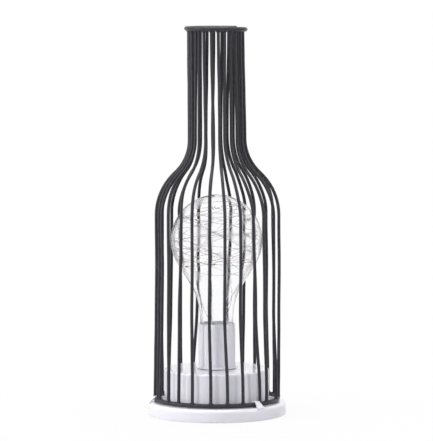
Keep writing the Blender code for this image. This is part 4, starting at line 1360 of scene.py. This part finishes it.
@dataclass
class Underside:
    """The underside: the cover, its screws and feet, and the battery door."""

    cover_z: float = 0.0008
    screw_radius: float = 0.03855
    screw_azimuths: tuple[float, ...] = (0.0, 80.0, 180.0, 280.0)
    head_radius: float = 0.0022
    head_top: float = 0.0017
    head_height: float = 0.0008
    shank_radius: float = 0.0011
    shank_top: float = 0.0066
    thread_turns: int = 9
    thread_root: float = 0.78
    thread_run: Pair = (0.0002, 0.0012)
    recess_arm: Pair = (0.62, 0.15)
    recess_depth: float = 0.00048
    recess_turn: float = 31.0
    foot_radius: float = 0.03755
    foot_azimuths: tuple[float, ...] = (35.0, 145.0, 215.0, 325.0)
    foot_width: float = 0.0080
    foot_top: float = 0.0016
    foot_dish: float = 0.00012
    foot_edge: float = 0.0002
    grip_ridges: int = 5
    grip_start: float = 0.02065
    grip_pitch: float = 0.0012
    grip_reach: float = 0.0042
    grip_taper: float = 0.0003
    grip_radius: float = 0.00028
    grip_rise: float = 0.00005
    cover_edge: float = 0.00016
    door_edge: float = 0.00014

    def build_screws(self) -> None:
        """Make the pan-head screws with their cross recesses and threads."""
        low = self.head_top - self.head_height
        head, shank = self.head_radius, self.shank_radius
        root = shank * self.thread_root
        profile = [(0.0, low), (head * 0.55, low + 0.00002), (head * 0.85, low + 0.00014),
                   (head, low + 0.00036), (head, self.head_top - 0.0001), (head - 0.0001, self.head_top),
                   (shank, self.head_top)]
        first, spare = self.thread_run
        pitch = (self.shank_top - spare - self.head_top) / self.thread_turns
        for turn in range(self.thread_turns):
            start = self.head_top + first + turn * pitch
            profile += [(root, start + pitch * 0.2), (shank, start + pitch * 0.55),
                        (root, start + pitch * 0.9)]
        profile += [(shank * 0.6, self.shank_top - 0.0004), (0.0, self.shank_top)]
        arm, half = (head * share for share in self.recess_arm)
        for number, azimuth in enumerate(self.screw_azimuths, 1):
            piece = from_bmesh(f"screw_{number}", lathe(profile, 40, closed=False), ZINC)
            cross = bmesh.new()
            prism(cross, cross_outline(arm, half), low - 0.001, low + self.recess_depth)
            turn = Matrix.Rotation(math.radians(self.recess_turn * number), 4, "Z")
            bmesh.ops.transform(cross, matrix=turn, verts=cross.verts)
            cut(piece, cross)
            piece.data.transform(Matrix.Translation(on_circle(self.screw_radius, azimuth, 0.0)))
            register(piece, (f"cover_screw_{number}",))

    def build_feet(self) -> None:
        """Make the rubber feet, each with a shallow dished ring."""
        radius, dish, top = self.foot_width / 2, self.foot_dish, self.foot_top
        profile = [(0.0, dish), (radius * 0.42, dish), (radius * 0.52, 0.0), (radius * 0.80, 0.0),
                   (radius * 0.93, 0.0001), (radius, 0.00045), (radius, top), (0.0, top)]
        for number, azimuth in enumerate(self.foot_azimuths, 1):
            foot = lathe(softened(profile, self.foot_edge, closed=False), 56, closed=False)
            bmesh.ops.translate(foot, verts=foot.verts, vec=on_circle(self.foot_radius, azimuth, 0.0))
            make(f"foot_{number}", foot, RUBBER, (f"rubber_foot_{number}",))

    def build_door_grip(self) -> None:
        """Make the ridges by the door's finger notch."""
        bm = bmesh.new()
        for ridge in range(self.grip_ridges):
            x = self.grip_start - ridge * self.grip_pitch
            reach = self.grip_reach - self.grip_taper * ridge
            path = [Vector((x, reach * share, self.cover_z + self.grip_rise)) for share in (-1, -0.3, 0.3, 1)]
            sweep(bm, *rounded_ends(path, self.grip_radius), 12)
        make("door_grip", bm, WHITE, crisp=Crisp.ROD, body=Body.DOOR)

    def build(self) -> None:
        """Make every piece of the underside."""
        eased("bottom_cover", "under_cover", WHITE, self.cover_edge)
        eased("battery_door", "bay_door", WHITE, self.door_edge, Body.DOOR)
        self.build_door_grip()
        self.build_screws()
        self.build_feet()


@dataclass
class BatteryBay:
    """The three dry cells, and the springs and plates that they press on."""

    cell_radius: float = 0.00525
    cell_length: float = 0.0445
    cell_edge: float = 0.00018
    nub_radius: float = 0.0019
    nub_length: float = 0.0008
    pitch: float = 0.0112
    axis_z: float = 0.00805
    half_x: float = 0.02525
    spring_room: float = 0.0042
    spring_wire: float = 0.0005
    spring_radii: Pair = (0.0033, 0.0018)
    spring_turns: int = 3
    steps_per_turn: int = 36
    gap: float = 0.0003
    plate_edge: float = 0.00008

    def lay(self, bm: bmesh.types.BMesh, x: float, y: float, way: int) -> None:
        """Turn a piece made along the height so that it lies in the bay.

        Args:
            bm: The piece.
            x: Where its foot goes along the bay.
            y: Where it goes across the bay.
            way: 1 if it points to the right, or -1.
        """
        turn = Matrix.Rotation(math.radians(90 * way), 4, "Y")
        bmesh.ops.transform(bm, matrix=Matrix.Translation((x, y, self.axis_z)) @ turn, verts=bm.verts)

    def build_cell(self, number: int, y: float, way: int) -> None:
        """Make one cell: rolled jacket, end ring, raised nub.

        Args:
            number: The cell's number.
            y: Where it lies.
            way: Which way its nub points.
        """
        radius, length, nub = self.cell_radius, self.cell_length, self.nub_radius
        end = length + self.nub_length
        profile = [(0.0, 0.0), (radius * 0.72, 0.0), (radius * 0.78, 0.00022), (radius * 0.92, 0.00022),
                   (radius * 0.94, 0.0), (radius, 0.0005), (radius, length - 0.0006),
                   (radius * 0.9, length - 0.0001), (radius * 0.84, length - 0.0002),
                   (radius * 0.80, length - 0.0005), (nub * 1.6, length - 0.0005), (nub * 1.3, length),
                   (nub, length + 0.0001), (nub * 0.96, end), (0.0, end)]
        bm = lathe(softened(profile, self.cell_edge, closed=False), 64, closed=False)
        self.lay(bm, -way * (self.half_x - self.spring_room), y, way)
        make(f"dry_cell_{number}", bm, JACKET, (f"cell_{number}",), Crisp.CELL)

    def build_spring(self, number: int, y: float, way: int) -> None:
        """Make one conical spring.

        Args:
            number: The spring's number.
            y: Where it stands.
            way: Which way it points.
        """
        total = self.spring_turns * self.steps_per_turn
        wire = self.spring_wire / 2
        length = self.spring_room - 2 * self.gap - 2 * wire
        low, high = self.spring_radii
        path = []
        for step in range(total + 1):
            share = step / total
            angle = 2 * math.pi * step / self.steps_per_turn
            radius = low + (high - low) * share
            z = self.gap + wire + length * share
            path.append(Vector((radius * math.cos(angle), radius * math.sin(angle), z)))
        bm = bmesh.new()
        sweep(bm, *rounded_ends(path, wire), 12)
        self.lay(bm, -way * self.half_x, y, way)
        make(f"spring_{number}", bm, NICKEL, (f"contact_spring_{number}",), Crisp.ROD)

    def build(self) -> None:
        """Make the cells and their contacts."""
        for number, way in enumerate((1, -1, 1), 1):
            y = (number - 2) * self.pitch
            self.build_cell(number, y, way)
            self.build_spring(number, y, way)
            eased(f"contact_plate_{number}", f"flat_contact_{number}", NICKEL, self.plate_edge)


@dataclass
class SwitchAndBoard:
    """The slide switch, the small circuit board and the lead that goes up to the bulb."""

    case_edge: float = 0.00014
    knob_edge: float = 0.00012
    board: Triple = (0.0220, 0.0070, 0.0012)
    board_y: float = 0.0245
    board_z: float = 0.0051
    chip: Triple = (0.0050, 0.0040, 0.0015)
    legs_a_side: int = 4
    leg_pitch: float = 0.00115
    leg_radius: float = 0.00014
    leg_steps: int = 4
    can_radius: float = 0.0015
    can_height: float = 0.0026
    core_radius: float = 0.00042
    core_share: float = 0.94
    twist_per_step: float = 0.42
    route: tuple[Triple, ...] = (
        (-0.0088, 0.0245, 0.0074), (-0.0088, 0.0245, 0.0106), (-0.0066, 0.0245, 0.0196),
        (-0.0022, 0.0084, 0.0212), (0.0, 0.0, 0.0284), (0.0, 0.0, 0.0371), (0.0, 0.0, 0.0473),
    )

    def build_board(self) -> None:
        """Make the board, its chip and its can."""
        length, width, thick = self.board
        top = self.board_z + thick
        plate = bmesh.new()
        prism(plate, softened(box_outline((0.0, self.board_y), length, width), 0.0006), self.board_z, top)
        make("board_plate", plate, MASK, ("circuit_board",))
        chip_x = -length / 6
        chip = bmesh.new()
        body = box_outline((chip_x, self.board_y), self.chip[0], self.chip[1])
        prism(chip, softened(body, 0.0002), top + 0.0001, top + self.chip[2])
        make("board_chip", chip, KNOB)
        self.build_legs(chip_x, top)
        radius, tall = self.can_radius, self.can_height
        profile = [(0.0, 0.0), (radius, 0.0), (radius, 0.0004), (radius * 0.92, 0.0006), (radius, 0.0008),
                   (radius, tall), (0.0, tall)]
        can = lathe(softened(profile, 0.00015, closed=False), 40, closed=False)
        bmesh.ops.translate(can, verts=can.verts, vec=(length / 4, self.board_y, top))
        make("board_can", can, ZINC)

    def build_legs(self, chip_x: float, top: float) -> None:
        """Make the chip's legs, each bent down to the board.

        Args:
            chip_x: Where the chip stands.
            top: The board's upper side.
        """
        legs = bmesh.new()
        shoulder = top + self.chip[2] * 0.5
        bends = ((0.0, shoulder), (0.0004, shoulder), (0.0006, top + 0.0002), (0.0011, top + 0.00012))
        for leg in range(self.legs_a_side):
            x = chip_x + (leg - (self.legs_a_side - 1) / 2) * self.leg_pitch
            for side in (-1, 1):
                start = self.board_y + side * (self.chip[1] / 2 - 0.0001)
                path = smooth_route([Vector((x, start + side * out, z)) for out, z in bends], self.leg_steps)
                sweep(legs, path, [self.leg_radius] * len(path), 8)
        make("chip_legs", legs, NICKEL)

    def build_lead(self) -> None:
        """Make the lead, two sleeved cores twisted round each other."""
        line = smooth_route([Vector(knot) for knot in self.route], 14)
        turns = [step * self.twist_per_step for step in range(len(line))]
        pair = twisted_pair(line, turns, self.core_radius, self.core_radius * self.core_share, 14,
                            (0.31, 0.95, 0.05))
        make("twisted_lead", pair, SLEEVE, ("string_lead",), Crisp.ROD)

    def build(self) -> None:
        """Make the switch, the board and the lead."""
        eased("switch_body", "switch_case", NICKEL, self.case_edge)
        eased("switch_slider", "switch_knob", KNOB, self.knob_edge, Body.SLIDER)
        self.build_board()
        self.build_lead()


@dataclass
class LampHolder:
    """The white sleeve that the bulb's neck sits in, with its snap spigot below."""

    radius: float = 0.01225
    top: float = 0.0601
    foot: float = 0.0307
    wall: float = 0.00105
    flange_radius: float = 0.0131
    flange: float = 0.0006
    socket_depth: float = 0.0128
    shoulder: float = 0.0032
    spigot_radius: float = 0.0080
    spigot_wall: float = 0.0016
    barb: float = 0.0007
    slit: float = 0.0016
    slit_end: float = 0.0003
    hook_z: float = 0.0281
    edge: float = 0.00032

    def build(self) -> None:
        """Make the holder and cut the slits of its snap fingers."""
        spigot, flange_top = self.spigot_radius, self.foot + self.flange
        socket = self.radius - self.wall
        ledge = socket - self.shoulder
        floor = self.top - self.socket_depth
        foot = self.hook_z - 3 * self.barb
        inner = spigot - self.spigot_wall
        profile = [(spigot - self.barb, foot), (spigot + self.barb, self.hook_z - self.barb),
                   (spigot + self.barb, self.hook_z), (spigot, self.hook_z), (spigot, self.foot),
                   (self.flange_radius, self.foot), (self.flange_radius, flange_top),
                   (self.radius, flange_top + (self.flange_radius - self.radius)), (self.radius, self.top),
                   (socket, self.top), (socket, floor), (ledge, floor), (ledge, self.foot + 2 * self.wall),
                   (inner, self.foot), (inner, foot)]
        piece = from_bmesh("bulb_holder", lathe(softened(profile, self.edge), 144), WHITE, Crisp.TURNED)
        cross = bmesh.new()
        outline = cross_outline(spigot + 2 * self.barb, self.slit / 2)
        prism(cross, outline, foot - self.slit_end, self.foot - self.slit_end)
        cut(piece, cross)
        shade(piece.data, Crisp.TURNED)
        register(piece, ("lamp_holder",))


@dataclass
class GlobeBulb:
    """The clear globe bulb, a thin shell with an open neck, and the plug in its neck."""

    radius: float = 0.0300
    top: float = 0.1447
    wall: float = 0.0005
    waves_per_metre: float = 75.0
    wave_depth: float = 0.0008
    wave_start: float = 0.004
    wave_fade: float = 0.014
    arc_end: float = 30.0
    arc_steps: int = 48
    taper_steps: int = 28
    taper_pull: float = 0.0180
    neck_pull: float = 0.0200
    neck_radius: float = 0.0109
    neck_top: float = 0.0601
    foot: float = 0.0476
    plug_height: float = 0.0046
    plug_hole: float = 0.0013
    plug_room: float = 0.0003
    steps: int = 160

    @property
    def centre(self) -> float:
        """Return the height of the globe's middle."""
        return self.top - self.radius

    @functools.cached_property
    def inside(self) -> Profile:
        """Return the inside of the shell as (radius, height) points."""
        return self.side(self.wall)

    def side(self, inset: float) -> Profile:
        """Return the bulb's side from its top to its neck.

        Args:
            inset: How far it is set in from the outside.

        Returns:
            The (radius, height) points.
        """
        radius = self.radius - inset
        points = arc((0.0, self.centre), radius, 90, -self.arc_end, self.arc_steps)
        points[0] = (0.0, self.centre + radius)
        end = math.radians(self.arc_end)
        start = Vector(points[-1])
        neck = self.neck_radius - inset
        pulls = [start, start - Vector((math.sin(end), math.cos(end))) * self.taper_pull,
                 Vector((neck, self.neck_top + self.neck_pull)), Vector((neck, self.neck_top))]
        for step in range(1, self.taper_steps + 1):
            t = step / self.taper_steps
            weights = ((1 - t) ** 3, 3 * t * (1 - t) ** 2, 3 * t * t * (1 - t), t ** 3)
            point = sum((pull * weight for pull, weight in zip(pulls, weights)), Vector((0.0, 0.0)))
            points.append((point.x, point.y))
        return points

    def room_at(self, z: float) -> float:
        """Return how far the inside of the shell stands from the axis.

        Args:
            z: The height.

        Returns:
            The distance.
        """
        for (high_r, high), (low_r, low) in zip(self.inside, self.inside[1:]):
            if low <= z <= high:
                share = (z - low) / max(high - low, NO_LENGTH)
                return low_r + (high_r - low_r) * share
        return self.inside[-1][0] if z < self.inside[-1][1] else 0.0

    def build(self) -> None:
        """Make the shell, with the waves on its inside, and the plug."""
        outer = self.side(0.0) + [(self.neck_radius, self.foot)]
        inner = self.inside + [(self.neck_radius - self.wall, self.foot)]
        shell = lathe(outer + list(reversed(inner)), self.steps, closed=False)
        middle = Vector((0.0, 0.0, self.centre))
        for vert in shell.verts:
            rise = vert.co.z - self.neck_top - self.wave_start
            if rise > 0 and math.hypot(vert.co.x, vert.co.y) < self.room_at(vert.co.z) + self.wall * 0.4:
                swell = 0.5 + 0.5 * noise.noise(vert.co * self.waves_per_metre)
                swell *= min(rise / self.wave_fade, 1.0)
                vert.co -= (vert.co - middle).normalized() * swell * self.wave_depth
        make("globe_shell", shell, CLEAR, ("bulb_shell",), Crisp.SHELL)
        self.build_plug()

    def build_plug(self) -> None:
        """Make the plug that closes the neck, with a groove round it and a dish on top."""
        hole, plug, groove = self.plug_hole, self.neck_radius - self.wall - self.plug_room, self.plug_room
        shares = ((hole, 0.0), (plug, 0.0), (plug, 0.45), (plug - groove, 0.5), (plug - groove, 0.6),
                  (plug, 0.65), (plug, 1.0), (hole + 0.0022, 1.0), (hole + 0.0018, 0.8), (hole, 0.8))
        profile = [(radius, self.foot + self.plug_height * share) for radius, share in shares]
        make("neck_plug", lathe(softened(profile, 0.0003), 96), WHITE, ("bulb_plug",))


@dataclass
class FairyString:
    """The string of small lamps: two fine wires twisted together, wound loosely inside the bulb."""

    bulb: GlobeBulb = field(default_factory=GlobeBulb)
    strand: float = 0.00011
    strand_share: float = 0.92
    twist_per_metre: float = 170.0
    loops: int = 15
    points_per_loop: int = 150
    latitudes: Pair = (-25.0, 62.0)
    crowding: float = 1.9
    surge: Pair = (0.07, 2.3)
    tilts: Pair = (14.0, 90.0)
    slack: Triple = (0.02, 0.07, 0.10)
    shell_room: float = 0.0008
    least_room: float = 0.0012
    # The points between the plug and the coil, and those from the coil down to the neck.
    rise: tuple[Triple, ...] = (
        (0.0010, 0.0, 0.0516), (0.0022, -0.0010, 0.0562), (0.0072, -0.0030, 0.0712),
        (0.0105, -0.0040, 0.0792), (0.0150, -0.0010, 0.0867),
    )
    fall_step: Triple = (-0.0020, 0.0020, -0.0060)
    fall: tuple[Triple, ...] = (
        (-0.0128, 0.0100, 0.1060), (-0.0136, 0.0020, 0.0900), (-0.0118, -0.0030, 0.0800),
        (-0.0080, -0.0020, 0.0690), (-0.0040, 0.0000, 0.0610), (0.0020, 0.0010, 0.0590),
        (0.0062, 0.0020, 0.0640), (0.0098, 0.0040, 0.0760), (0.0092, 0.0080, 0.0880),
    )
    end_steps: int = 16
    drop_count: int = 12
    drop_half: Triple = (0.00105, 0.000903, 0.00175)
    chip_size: Triple = (0.0008, 0.0005, 0.0011)
    chip_edge: float = 0.00008

    def coil_point(self, turns: float) -> Vector:
        """Return a point of the wound string: loose loops that lean on the shell at changing tilts.

        Args:
            turns: How many turns it has made.

        Returns:
            The point.
        """
        share = turns / self.loops
        angle = 2 * math.pi * turns
        drift = noise.noise_vector(Vector((turns * 0.43, 3.0, 1.0)))
        shake = noise.noise_vector(Vector((turns * 3.3, 9.0, 2.0)))
        fade = math.sin(math.pi * min(max(share, 0.05), 0.95))
        surge, surge_rate = self.surge
        rise = min(max(share ** self.crowding + surge * math.sin(surge_rate * turns) * fade, 0.0), 1.0)
        low, high = self.latitudes
        latitude = math.radians(low + (high - low) * rise + 3.0 * shake.z)
        least_tilt, more_tilt = self.tilts
        tilt = math.radians(least_tilt + more_tilt * abs(drift.x)) * fade
        way = 0.9 * turns + 3.0 * drift.y
        least_slack, shaken_slack, drifted_slack = self.slack
        slack = least_slack + shaken_slack * abs(shake.x) + drifted_slack * max(0.0, drift.z)
        reach = (self.bulb.radius - self.bulb.wall - self.shell_room) * (1 - slack)
        across = math.cos(latitude)
        level = Vector((math.cos(angle) * across, math.sin(angle) * across, math.sin(latitude)))
        leaned = Matrix.Rotation(tilt, 3, Vector((math.cos(way), math.sin(way), 0.0))) @ level
        return Vector((0.0, 0.0, self.bulb.centre)) + leaned * reach

    def line(self) -> list[Vector]:
        """Return the string's line: up from the plug, round and round, and down again to the neck."""
        count = self.loops * self.points_per_loop
        start, *coil, end = [self.coil_point(step / self.points_per_loop) for step in range(count + 1)]
        rise = [Vector(knot) for knot in self.rise] + [start]
        fall = [end, end + Vector(self.fall_step)] + [Vector(knot) for knot in self.fall]
        return smooth_route(rise, self.end_steps)[:-1] + coil + smooth_route(fall, self.end_steps)

    def keep_inside(self, point: Vector) -> Vector:
        """Hold a point clear of the shell.

        Args:
            point: The point.

        Returns:
            The point, moved towards the axis if it was too far out.
        """
        limit = self.bulb.room_at(point.z) - self.least_room
        across = math.hypot(point.x, point.y)
        if across <= limit or across == 0.0:
            return point
        scale = max(limit, 0.0) / across
        return Vector((point.x * scale, point.y * scale, point.z))

    def build_strands(self, line: Sequence[Vector]) -> None:
        """Make the two twisted wires as one piece.

        Args:
            line: The string's line.
        """
        travelled = 0.0
        turns = []
        for before, here in zip([line[0], *line], line):
            travelled += (here - before).length
            turns.append(2 * math.pi * self.twist_per_metre * travelled)
        pair = twisted_pair(line, turns, self.strand, self.strand * self.strand_share, 6, (0.12, 0.21, 0.97))
        make("twisted_string", pair, STRAND, ("fairy_string",), Crisp.STRAND)

    def build_drops(self, line: Sequence[Vector]) -> None:
        """Make the cast drops and the small lamps in them.

        Args:
            line: The string's line.
        """
        drops, chips = bmesh.new(), bmesh.new()
        wide, deep, long = self.drop_half
        every = len(line) // (self.drop_count + 1)
        for number in range(1, self.drop_count + 1):
            index = number * every
            ahead = (line[index + 1] - line[index - 1]).normalized()
            turn = ahead.to_track_quat("Z", "Y").to_matrix().to_4x4()
            drop = bmesh.ops.create_icosphere(drops, subdivisions=3, radius=1.0)["verts"]
            for vert in drop:
                along = vert.co.z
                thin = 1.0 - 0.22 * along * along + 0.10 * noise.noise(vert.co * 1.3 + Vector((number, 0, 0)))
                local = Vector((vert.co.x * wide * thin, vert.co.y * deep * thin, along * long))
                vert.co = line[index] + turn.to_3x3() @ local
            chip = bmesh.ops.create_cube(chips, size=1.0)["verts"]
            bmesh.ops.scale(chips, verts=chip, vec=self.chip_size)
            bmesh.ops.transform(chips, matrix=Matrix.Translation(line[index]) @ turn, verts=chip)
        bmesh.ops.bevel(chips, geom=chips.edges[:], offset=self.chip_edge, segments=2, affect="EDGES")
        make("string_drops", drops, RESIN, crisp=Crisp.STRAND)
        make("string_chips", chips, PHOSPHOR)

    def build(self) -> None:
        """Make the string with its lamps."""
        line = [self.keep_inside(point) for point in self.line()]
        self.build_strands(line)
        self.build_drops(line)


@dataclass(frozen=True)
class Panel:
    """One soft lamp panel."""

    title: str
    place: Triple
    size: Pair
    watts: float


@dataclass
class Studio:
    """The pale floor, the white surroundings, the four lamp panels and the camera."""

    camera_place: Triple = (-0.00013, -1.9500, 0.29064)
    camera_aim: Triple = (-0.00013, 0.0, 0.12764)
    lens: float = 248.4
    sensor: float = 36.0
    clip: Pair = (0.05, 60.0)
    floor_reach: float = 6.0
    floor_tone: float = 0.65
    shadow_share: float = 0.07
    shadow_fade: Pair = (0.06, 0.22)
    world_level: float = 0.30
    panel_aim: Triple = (0.0, 0.0, 0.12)
    panels: tuple[Panel, ...] = (
        Panel("left panel", (-1.25, -0.30, 0.45), (0.30, 1.20), 9.6),
        Panel("front panel", (-0.80, -1.20, 0.50), (0.10, 0.80), 4.6),
        Panel("right panel", (1.20, -0.55, 0.45), (0.16, 1.20), 4.8),
        Panel("top panel", (0.0, 0.1, 1.3), (0.9, 0.9), 18.0),
    )

    def seen(self, graph: Graph) -> bpy.types.NodeSocket:
        """Return 1 for the rays that show a surface to the camera, and 0 for those that light things.

        Args:
            graph: The graph that it goes into.

        Returns:
            The output socket of the answer.
        """
        rays = graph.add("ShaderNodeLightPath").outputs
        through = graph.math("MAXIMUM", rays["Is Glossy Ray"], rays["Is Transmission Ray"])
        return graph.math("MAXIMUM", rays["Is Camera Ray"], through)

    def build_floor(self) -> None:
        """Make the floor: white to the camera, with the lamp's soft shadow on it."""
        bm = bmesh.new()
        bmesh.ops.create_grid(bm, x_segments=8, y_segments=8, size=self.floor_reach)
        mesh = bpy.data.meshes.new("floor")
        bm.to_mesh(mesh)
        bm.free()
        made = bpy.data.materials.new("pale paper floor")
        made.use_nodes = True
        made.node_tree.nodes.clear()
        graph = Graph(made.node_tree)
        tone = (self.floor_tone, self.floor_tone, self.floor_tone, 1.0)
        paper = graph.add("ShaderNodeBsdfDiffuse", {"Color": tone, "Roughness": 0.5})
        white = graph.add("ShaderNodeEmission", {"Color": OPAQUE_WHITE, "Strength": 1.0})
        place = graph.add("ShaderNodeTexCoord").outputs["Object"]
        far = graph.add("ShaderNodeVectorMath", {0: place}, operation="LENGTH").outputs["Value"]
        fade = graph.spread(far, 1.0 - self.shadow_share, 1.0, *self.shadow_fade)
        share = graph.math("MULTIPLY", self.seen(graph), fade, clamp=True)
        mixed = graph.add("ShaderNodeMixShader", {0: share, 1: paper.outputs[0], 2: white.outputs[0]})
        graph.add("ShaderNodeOutputMaterial", {"Surface": mixed.outputs[0]})
        mesh.materials.append(made)
        floor = bpy.data.objects.new("floor", mesh)
        bpy.context.scene.collection.objects.link(floor)

    def build_world(self) -> None:
        """Make the world: white to the camera, and a plain soft light to everything else."""
        world = bpy.data.worlds.new("white studio")
        bpy.context.scene.world = world
        world.use_nodes = True
        world.node_tree.nodes.clear()
        graph = Graph(world.node_tree)
        level = graph.spread(self.seen(graph), self.world_level, 1.0)
        light = graph.add("ShaderNodeBackground", {"Color": OPAQUE_WHITE, "Strength": level})
        graph.add("ShaderNodeOutputWorld", {"Surface": light.outputs[0]})

    def stand(self, title: str, data: bpy.types.ID, place: Triple, aim: Triple) -> bpy.types.Object:
        """Stand a lamp or a camera at a place and point it.

        Args:
            title: The object's name.
            data: The lamp's or the camera's own data.
            place: Where it stands.
            aim: What it points at.

        Returns:
            The object.
        """
        made = bpy.data.objects.new(title, data)
        bpy.context.scene.collection.objects.link(made)
        made.location = place
        made.rotation_euler = (Vector(aim) - Vector(place)).to_track_quat("-Z", "Y").to_euler()
        return made

    def build_panels(self) -> None:
        """Make the lamp panels."""
        for panel in self.panels:
            data = bpy.data.lights.new(panel.title, "AREA")
            data.shape = "RECTANGLE"
            data.size, data.size_y = panel.size
            data.energy = panel.watts
            self.stand(panel.title, data, panel.place, self.panel_aim)

    def build_camera(self) -> None:
        """Make the camera at the photograph's angle."""
        data = bpy.data.cameras.new("camera")
        data.lens = self.lens
        data.sensor_width = self.sensor
        data.sensor_fit = "HORIZONTAL"
        data.clip_start, data.clip_end = self.clip
        bpy.context.scene.camera = self.stand("camera", data, self.camera_place, self.camera_aim)

    def build(self) -> None:
        """Make the whole studio."""
        self.build_floor()
        self.build_world()
        self.build_panels()
        self.build_camera()
        bpy.context.scene.view_settings.view_transform = "Standard"


def main() -> None:
    """Build every class in order."""
    logging.basicConfig(level=logging.INFO, format="%(message)s")
    noise.seed_set(NOISE_SEED)
    for part in (WireCage(), BaseShell(), Underside(), BatteryBay(), SwitchAndBoard(), LampHolder(),
                 GlobeBulb(), FairyString(), Studio()):
        part.build()
        log.info("%s is done", type(part).__name__)


if __name__ == "__main__":
    main()
